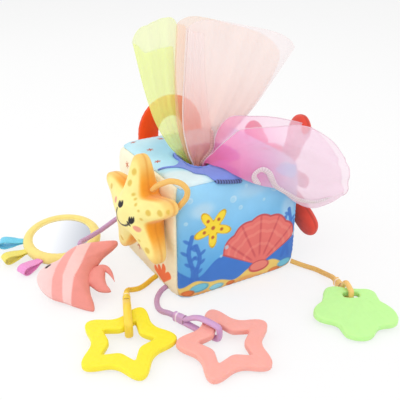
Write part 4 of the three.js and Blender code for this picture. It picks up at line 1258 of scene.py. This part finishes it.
def makeFish(s):
    def paint(p, u, v):
        x, y, z = p.T
        first, second, third = (ease(x - np.interp(y, *line), -0.4, 0.4) for line in s["stripes"])
        c = over(s["light"], 0.4 * ease(-x, 6, 16), s["nose"])
        c = over(c, first * (1 - second), s["band"])
        c = over(c, third, s["coral"])
        c = over(c, 0.25 * (np.abs(np.sin(math.pi * v)) > s["seam"]), s["seamTone"])
        eye, step = np.array(s["eye"]), np.array(s["eyeStep"])
        return tone(over(c, stroke(x, y, [eye - step, eye + step], s["eyeWidth"]), s["eyeTone"]))

    def thin(p, share):
        out = np.hypot(p[:, 0] - 2, 0.8 * (p[:, 1] - 3))
        p[:, 2] *= 0.55 + 0.45 * ease(-out, -44, -16)
        return p

    plush = cloths["fishPlush"]
    outline = smoothPath(s["outline"], 240, closed=True)
    body = pillow("fish_pillow", s["place"], outline, *s["body"], paint, thin)
    dress(body, plush, "fish", "fish_plush", ["fish_body", "fish_upper_fin", "fish_lower_fin"])
    outline = smoothPath(s["tail"], 160, closed=True)
    tailPaint = seamed(s["coral"], 0.12, s["seam"])
    tail = pillow("fish_tail_pillow", s["place"], outline, *s["tailPad"], tailPaint)
    dress(tail, plush, "fish", "fish_plush", ["fish_tail"])
    path = placed(smoothPath(s["curl"], 60), s["place"])
    taper = lambda v: np.clip(1.02 - v ** 1.4, 0.08, 1) * ease(v, -0.3, 0.12)
    curlPaint = lambda u, v, points: plain(tone(s["coral"]), u)
    curl = tubePiece("fish_tail_curl", path, s["curlSize"], 20, taper=taper, paint=curlPaint)
    dress(curl, plush, "fish", "fish_plush")


makeFish(fishSet)
print("fish")


# baby mirror with folded ribbon tags

mirrorSet = {
    "place": ((-128, 88, 12.638), (0.8669, -0.4985, 0), (0.4936, 0.8585, 0.1392), (-0.0694, -0.1206, 0.9903)),
    "outer": 41.0, "rim": 11.0, "top": 4.8, "under": 7.0, "turn": 29.9, "rimTone": (255, 234, 142),
    "grooveTone": (240, 208, 104), "innerTone": (255, 244, 190),
    "rimCells": (220, 40), "filmCells": (96, 40), "backCells": (96, 24), "tagCells": (14, 90), "tabCells": (8, 29),
    # the film's two greys are the light and dark ends of a painted reflection
    "film": 32.0, "filmEdge": 2.2, "filmRise": 1.2, "filmThick": 1.4, "filmReflectionTones": ((236, 237, 240), (168, 172, 180)),
    "back": 30.6, "backAt": -4.2, "backHalf": 0.6, "backSag": 0.9,
    "tags": [("blue", 159, 0, (112, 222, 255)), ("yellow", 186, 0, (255, 240, 104)),
             ("pink", 219, -18, (255, 160, 226))],  # name, angle, skew, colour
    "tagLength": 25.0, "tagWidth": 12.0, "tagHeight": 8.0, "tagTwist": 6.0, "tagThick": 0.7,
    "tie": (-122, 38, 31.0), "tabSeat": 35.5, "tabDrop": 3.4, "tabWidth": 8, "tabThick": 0.8,
    "tabTone": (255, 216, 96),
}


def makeMirror(s):
    def rimShape(u, v):
        turn, roll = full * u, full * v
        c, n = np.cos(roll), np.sin(roll)
        pucker = 1 + 0.025 * np.sin(38 * turn) * bell(c + 0.75, 0.25)
        groove = 1 - 0.05 * bell(c + 0.55, 0.08) * (n > 0)
        r = s["outer"] - s["rim"] / 2 + s["rim"] / 2 * bent(c, 0.9) * pucker
        z = np.where(n > 0, s["top"], s["under"]) * bent(n, 0.9) * pucker * groove
        return placed(ring(r, turn, z), s["place"])

    def rimPaint(u, v, points):
        c = np.cos(full * v)
        base = over(s["rimTone"], 0.6 * bell(c + 0.55, 0.06), s["grooveTone"])
        return tone(over(base, 0.6 * ease(-c, 0.6, 0.9), s["innerTone"]))

    def filmShape(u, v):  # a shallow dome above, flat below
        r = s["film"] * np.abs(np.sin(math.pi * v)) ** 0.8
        dome, flat = s["filmRise"] * (1 - (r / s["film"]) ** 2), -s["filmThick"] * ease(v, 0.5, 0.56)
        return placed(ring(r, full * u, s["filmEdge"] + np.where(v < 0.5, dome, flat)), s["place"])

    def backShape(u, v):
        r = s["back"] * np.sin(math.pi * v)
        z = s["backAt"] - s["backHalf"] * np.cos(math.pi * v) - s["backSag"] * bell(r, 16) * (v > 0.5)
        return placed(ring(r, full * u, z), s["place"])

    rim = gridPiece("mirror_rim_pad", *s["rimCells"], rimShape, rimPaint, merge=True)
    dress(rim, cloths["rimPlush"], "mirror", "rim_plush", ["mirror_rim"])
    film = gridPiece("mirror_film", *s["filmCells"], filmShape, merge=True)
    dress(film, filmMaterial("mirrorFilm", *s["filmReflectionTones"]), "mirror", "mirror_film", ["mirror_disc"])
    back = gridPiece("mirror_back_cloth", *s["backCells"], backShape, merge=True)
    dress(back, cloths["mirrorBackCloth"], "mirror", "back_cloth", ["mirror_back"])


def makeTag(name, angle, skew, colour, s):
    root = (*compass(angle + s["turn"], s["outer"] - 0.4), 0)
    out = np.array((*compass(angle + skew + s["turn"]), 0))
    side = np.array((-out[1], out[0], 0))
    half, far = s["tagHeight"] / 2, s["tagLength"]
    upper = [(0, 0.7), (6, 0.3 * half), (13, 0.72 * half), (far - 5, half), (far - 1.2, 0.62 * half)]
    loop = smoothPath([*upper, (far, 0), *[(x, -z) for x, z in upper[::-1]]], 90)

    def shape(u, v):
        run, rise = along(loop, v).T[:2]
        lean = math.radians(s["tagTwist"]) * ease(run, 0, 14)
        wide = (u - 0.5) * s["tagWidth"] * (0.6 + 0.4 * ease(run, 0, 12))
        local = root + np.outer(run, out) + np.outer(wide * np.cos(lean) - rise * np.sin(lean), side)
        local[:, 2] = wide * np.sin(lean) + rise * np.cos(lean)
        return placed(local, s["place"])

    tag = gridPiece(f"ribbon_loop_{name}", *s["tagCells"], shape)
    thicken(tag, s["tagThick"])
    dress(tag, ribbonMaterial(f"{name}Ribbon", colour), "mirror", f"ribbon_{name}", [f"ribbon_tag_{name}"])


def makeTab(s):  # ties the rim to the fish's cord
    tie, centre = np.array(s["tie"]), np.array(s["place"][0])
    toTie = unit((tie - centre) * (1, 1, 0))
    seat = centre + toTie * s["tabSeat"]
    seat[2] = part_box("mirror_tab")[0].z / mm + 0.6
    under = tie - (0, 0, s["tabDrop"])
    bow = seat * 0.55 + under * 0.45 + toTie * 2
    bow[2] = seat[2] + 2.5
    strip = smoothPath([seat, bow, under], 30)
    across = np.cross((0, 0, 1.0), toTie)
    shape = lambda u, v: along(strip, v) + np.outer((u - 0.5) * s["tabWidth"], across)
    tab = gridPiece("mirror_tab_ribbon", *s["tabCells"], shape)
    thicken(tab, s["tabThick"])
    dress(tab, ribbonMaterial("tabRibbon", s["tabTone"]), "mirror", "ribbon_yellow", ["mirror_tab"])
    length = pathLength(strip) * mm


makeMirror(mirrorSet)
for tagSet in mirrorSet["tags"]:
    makeTag(*tagSet, mirrorSet)
makeTab(mirrorSet)
print("mirror")


# silicone teethers

teetherSet = {
    "thick": 6.5, "round": 2.0, "rest": 7.66, "up": (-0.0521, -0.0906, 0.9945),
    "dotPitch": 5.2, "dotRise": 0.3, "lineIn": 3.4, "lineDepth": 0.25, "spokes": 360,
    "star": ((50.5, 19), (27, 9)), "starHole": ((24.5, 3), (13.5, 4)),  # reach and rounding of tips and valleys
    "flower": [(6, 38), (16, 36), (28, 32.8), (40, 32.2), (50, 35.6), (59, 38.4), (68, 39), (76, 37), (84, 32.6),
               (93, 28), (103, 26.6), (115, 29.8), (124, 33.2), (134, 34), (146, 34), (157, 33), (166, 30.6),
               (175, 27.4), (187, 25.6), (198, 28), (208, 32.6), (216, 35.2), (225, 35.5), (238, 33.7), (253, 29.8),
               (266, 27), (278, 29), (290, 33.2), (301, 33.4), (315, 30.8), (328, 30.4), (341, 32),
               (354, 36)],  # angle and reach, five blunt lobes
    "slot": (15.0, 7.2, 21.0, -27.0),  # length, width, distance out, angle
}
teethers = {
    "yellow": {"centre": (-136.6, -103.2, 7.66), "x": (0.6729, 0.7326, 0.102), "y": (-0.7379, 0.6746, 0.0228),
               "colour": (255, 236, 52), "body": "yellow_star"},
    "pink": {"centre": (-65.4, -146.8, 7.66), "x": (0.2019, 0.9744, 0.0994), "y": (-0.978, 0.206, -0.0325),
             "colour": (255, 178, 166), "body": "pink_star"},
    "green": {"centre": (58.5, -166.8, 7.66), "x": (0.0151, 0.9957, 0.0915), "y": (-0.9985, 0.0198, -0.0505),
              "colour": (200, 255, 160), "body": "green_flower"},
}


def starCorners(tip, valley):
    corners = []
    for arm in range(5):
        for (r, rounding), extra in ((tip, 0), (valley, 36)):
            corners.append((*compass(72 * arm + extra, r), rounding))
    return roundedOutline(corners)


def slotCorners(long, wide, out, angle):
    centre, ahead = compass(angle, out), compass(angle)
    side = np.array((-ahead[1], ahead[0]))
    corners = []
    for x, y in ((-wide, -long), (wide, -long), (wide, long), (-wide, long)):
        corners.append((*(centre + x / 2 * ahead + y / 2 * side), wide / 2))
    return roundedOutline(corners), centre


def ringSection(thick, soft, flat=16, arc=7):
    # (share from hole to rim, offset, height) once round the section
    h = thick / 2
    bend = [(soft - soft * math.cos(a), soft - soft * math.sin(a)) for a in np.linspace(0, math.pi / 2, arc)]
    steps = np.linspace(0, 1, flat)[1:-1]
    rows = [(1, -c, -h + n) for c, n in bend]
    rows += [(1 - t, -soft + 2 * soft * t, -h) for t in steps]
    rows += [(0, n, -h + c) for c, n in bend]
    rows += [(0, c, h - n) for c, n in bend]
    rows += [(t, soft - 2 * soft * t, h) for t in steps]
    rows += [(1, -n, h - c) for c, n in bend]
    return np.array(rows + rows[:1])


def makeTeether(name, outline, hole, centre, s):
    t = teethers[name]
    place = (t["centre"], t["x"], t["y"], s["up"])
    rows = ringSection(s["thick"], s["round"])
    spin = np.linspace(0, full, 1441)
    far, near = reachOf(outline, centre, spin), reachOf(hole, centre, spin)

    def shape(u, v):
        turn = full * u
        share, offset, z = along(rows, v).T
        rim, inner = np.interp(turn, spin, far), np.interp(turn, spin, near)
        r = inner + (rim - inner) * share + offset
        x, y = centre[0] + r * np.cos(turn), centre[1] + r * np.sin(turn)
        # raised grip dots and a shallow line inside the rim
        edge = np.minimum(rim - r, 2.2 * (r - inner))
        spread = sum(((way / s["dotPitch"]) % 1 - 0.5) ** 2 for way in (x, y))
        dots = np.exp(-spread / 0.035) * ease(edge, 4.2, 5.4)
        line = bell(rim - r - s["lineIn"], 0.5)
        flat = np.abs(z) > s["thick"] / 2 - 0.01
        z = z + np.sign(z) * np.where(flat, s["dotRise"] * dots - s["lineDepth"] * line, 0)
        return placed(np.column_stack([x, y, z]), place)

    cadNode = f"{t['body']}_teether"
    teether = gridPiece(f"{cadNode}_silicone", s["spokes"], len(rows) - 1, shape, merge=True)
    dress(teether, siliconeMaterial(f"{name}Silicone", t["colour"]), t["body"], f"teether_{name}", [cadNode])


star, starHole = (starCorners(*teetherSet[key]) for key in ("star", "starHole"))
makeTeether("yellow", star, starHole, (0, 0), teetherSet)
makeTeether("pink", star, starHole, (0, 0), teetherSet)
flower = smoothPath([compass(a, r) for a, r in teetherSet["flower"]], 240, closed=True)
makeTeether("green", flower, *slotCorners(*teetherSet["slot"]), teetherSet)
print("teethers")


# moulded loops that join the cords to the teethers

loopSet = {
    "strand": 4.6, "barrel": (14.0, 10.0, 6.8), "gap": 0.3, "clear": 0.85, "hump": 0.5, "lean": 6.0, "leanTo": 60.1,
    # pale and dark are the barrel's painted highlight and painted shade
    "gloss": 0.35, "sides": 18, "barrelCells": (36, 64), "pale": (255, 246, 250), "dark": (96, 60, 70),
}
loops = {  # eye is distance and angle from the teether's middle
    "yellow": {"toy": "yellow", "eye": (13.5, 56.5), "climb": 0.5, "wide": 1.6, "colour": (252, 218, 76)},
    "purple": {"toy": "pink", "eye": (13.5, 86.2), "climb": 0.45, "wide": 1.4, "colour": (214, 168, 212)},
    "orange": {"toy": "green", "eye": (21.0, 62.0), "climb": 0.34, "wide": 1.15, "colour": (250, 206, 124)},
}


def strandPath(loop, s, end, heading, centre):
    eye = np.array((*(np.array(centre[:2]) + compass(loop["eye"][1], loop["eye"][0])), 0))
    start = end + heading * (s["gap"] + s["barrel"][0])
    run = (eye - start) * (1, 1, 0)
    reach = np.linalg.norm(run)
    run /= reach
    lean, slope = np.array((*compass(s["leanTo"]), 0)), math.tan(math.radians(s["lean"]))
    # height of the teether's band at a spot along the strand
    band = lambda d: teetherSet["rest"] + (start + run * d - centre) @ lean * slope
    half, bend = teetherSet["thick"] / 2 + s["clear"] + s["strand"] / 2, 0.8 * s["strand"]
    spread, climb = s["strand"] / 2 + 0.15, loop["climb"] * reach
    high, low = end[2] + spread, end[2] - spread
    at = lambda d, z: (*(start + run * d)[:2], z)
    inside = lambda z: (*(start - heading * 0.5 * s["barrel"][0])[:2], z)
    crest, turn = band(climb) + half + s["hump"], reach - bend
    points = [inside(high), at(0, high), at(0.5 * climb, high + 0.65 * (crest - high)), at(climb, crest),
              at(turn, band(turn) + half), at(reach - 0.25 * bend, band(reach) + half - 0.25 * bend),
              at(reach, band(reach) + half - bend), at(reach, band(reach) - half + bend),
              at(reach - 0.25 * bend, band(reach) - half + 0.25 * bend), at(turn, band(turn) - half),
              at(climb, band(climb) - half), at(0, low), inside(low)]
    return smoothPath(points, 130)


def makeLoop(name, loop, s):
    before, end = np.array(cordRoutes[f"{name}_cord"]["route"][-2:], float)
    heading = unit((end - before) * (1, 1, 0))
    path = strandPath(loop, s, end, heading, teethers[loop["toy"]]["centre"])
    strand = tubePiece(f"{name}_loop_strand", path, s["strand"] / 2, s["sides"], wide=loop["wide"])
    silicone = siliconeMaterial(f"{name}LoopSilicone", loop["colour"], s["gloss"])
    dress(strand, silicone, f"{name}_link", f"cord_{name}", [f"{name}_loop"])
    across = np.cross((0, 0, 1.0), heading)
    long, tall, wide = s["barrel"]

    def barrelShape(u, v):
        turn = full * u
        cap = np.sqrt(np.clip(1 - (np.clip(np.abs(2 * v - 1) - 0.82, 0, 1) / 0.18) ** 2, 0, 1))
        collar = 1 + 0.06 * (bell(v - 0.14, 0.035) + bell(v - 0.86, 0.035)) - 0.05 * bell(v - 0.5, 0.03)
        size = (0.35 + 0.65 * cap) * np.where((v < 0.001) | (v > 0.999), 0.35, 1) * collar * 0.94
        local = np.outer(size * wide / 2 * bent(np.cos(turn), 0.8), across)
        local += np.outer(size * tall / 2 * bent(np.sin(turn), 0.8), (0, 0, 1.0))
        return end + heading * s["gap"] + np.outer(v * long, heading) + local

    def barrelColourAndLight(u, v, points):
        # a pale ring near the cord end is a painted highlight, and a dark band near the far end is painted shade
        c = over(loop["colour"], 0.8 * bell(v - 0.3, 0.06, 4), s["pale"])
        return tone(over(c, 0.45 * bell(v - 0.9, 0.05, 4), s["dark"]))

    barrel = gridPiece(f"{name}_loop_barrel", *s["barrelCells"], barrelShape, barrelColourAndLight, merge=True, close=True)
    painted = siliconeMaterial(f"{name}BarrelSilicone", None, s["gloss"])
    dress(barrel, painted, f"{name}_link", f"cord_{name}")
    declareCord(f"{name}_cord")


for name, loop in loops.items():
    makeLoop(name, loop, loopSet)
declareCord("starfish_cord")
declareCord("fish_cord")
print("loops")


# crab plush on the right panel

crabSet = {
    "place": ((69.97, -8, 85), (0, 1, 0), (0, 0, 1), (1, 0, 0)),
    "body": (34.0, 27.0), "half": 14, "centreOut": 10.0, "boxy": 2.2, "lean": {"leg_lower": 6.5},
    "tone": (236, 74, 60), "belly": (246, 112, 92), "limbTone": (238, 84, 68), "smileTone": (60, 24, 26),
    "eyes": [((x, 6, 2.6, 3.4), (x + 0.7, 7.3, 0.9, 0.9)) for x in (-9, 9)],
    "eyeTones": ((36, 30, 34), (250, 250, 250)),
    "cells": (140, 60), "limbCells": (90, 40),
    # name, root, tips at the front and rear, then half width and share along
    "limbs": [("claw", (21, 17), ((42, 69), (52, 34)), [(7, 0.05), (8, 0.28), (9, 0.5), (12, 0.72), (10, 0.9)]),
              ("leg_lower", (25, -15), ((62, -52), (62, -52)), [(9, 0.06), (11, 0.4), (11.5, 0.7), (9, 0.92)]),
              ("leg_upper", (31, 5), ((54, 3), (54, 3)), [(5.4, 0.06), (6.6, 0.4), (6.9, 0.7), (5.4, 0.92)])],
}


def onPanel(p, s):  # the half that would lie in the panel is flattened on it
    return np.column_stack([p[:, 0], p[:, 1], np.maximum(p[:, 2] + s["centreOut"], 0.05)])


def makeShell(s):
    spin = np.linspace(0, full, 181)[:-1]
    outline = np.column_stack([s["body"][0] * np.cos(spin), s["body"][1] * np.sin(spin)])
    smile = [(5.5 * math.sin(a), -1.5 - 4.5 * math.cos(a)) for a in np.linspace(-1.2, 1.2, 9)]

    def paint(p, u, v):
        x, y, z = p.T
        face = v < 0.45
        c = over(s["tone"], 0.35 * ease(-y, -4, 22), s["belly"])
        for eye in s["eyes"]:
            c = dabs(c, x, y, [(face, *dab) for dab in zip(eye, s["eyeTones"])])
        return tone(over(c, face * stroke(x, y, smile, 1.1), s["smileTone"]))

    lift = lambda p, share: onPanel(p, s)
    crab = pillow("crab_shell", s["place"], outline, (0, 0), s["half"], s["boxy"], s["cells"], paint, lift)
    dress(crab, cloths["crabPlush"], "box", "crab_plush", ["crab_body"])


def makeLimb(name, root, tip, profile, s):
    run = tip - root
    reach, ahead = np.linalg.norm(run), unit(run)
    side = np.array((-ahead[1], ahead[0]))
    right, left = ([root + ahead * share * reach + way * side * r for r, share in profile] for way in (1, -1))
    outline = smoothPath([root, *right, tip, *left[::-1]], 120, closed=True)
    half = 0.8 * max(r for r, share in profile)
    lean = s["lean"].get(name.rsplit("_", 1)[0], 0)

    def lift(p, share):
        out = onPanel(p, s)
        out[:, 2] += lean * ease((p[:, :2] - root) @ ahead, 0, reach)
        return out

    paint = seamed(s["limbTone"], 0.2, 0.995)
    middle = tuple((root + tip) / 2)
    limb = pillow(f"crab_{name}_plush", s["place"], outline, middle, half, s["boxy"], s["limbCells"], paint, lift)
    dress(limb, cloths["crabPlush"], "box", "crab_plush", [f"crab_{name}"])


makeShell(crabSet)
for tipAt, (end, side) in enumerate((("front", -1), ("rear", 1))):
    for name, root, tips, profile in crabSet["limbs"]:
        flip = np.array((side, 1.0))
        makeLimb(f"{name}_{end}", root * flip, tips[tipAt] * flip, profile, crabSet)
print("crab")
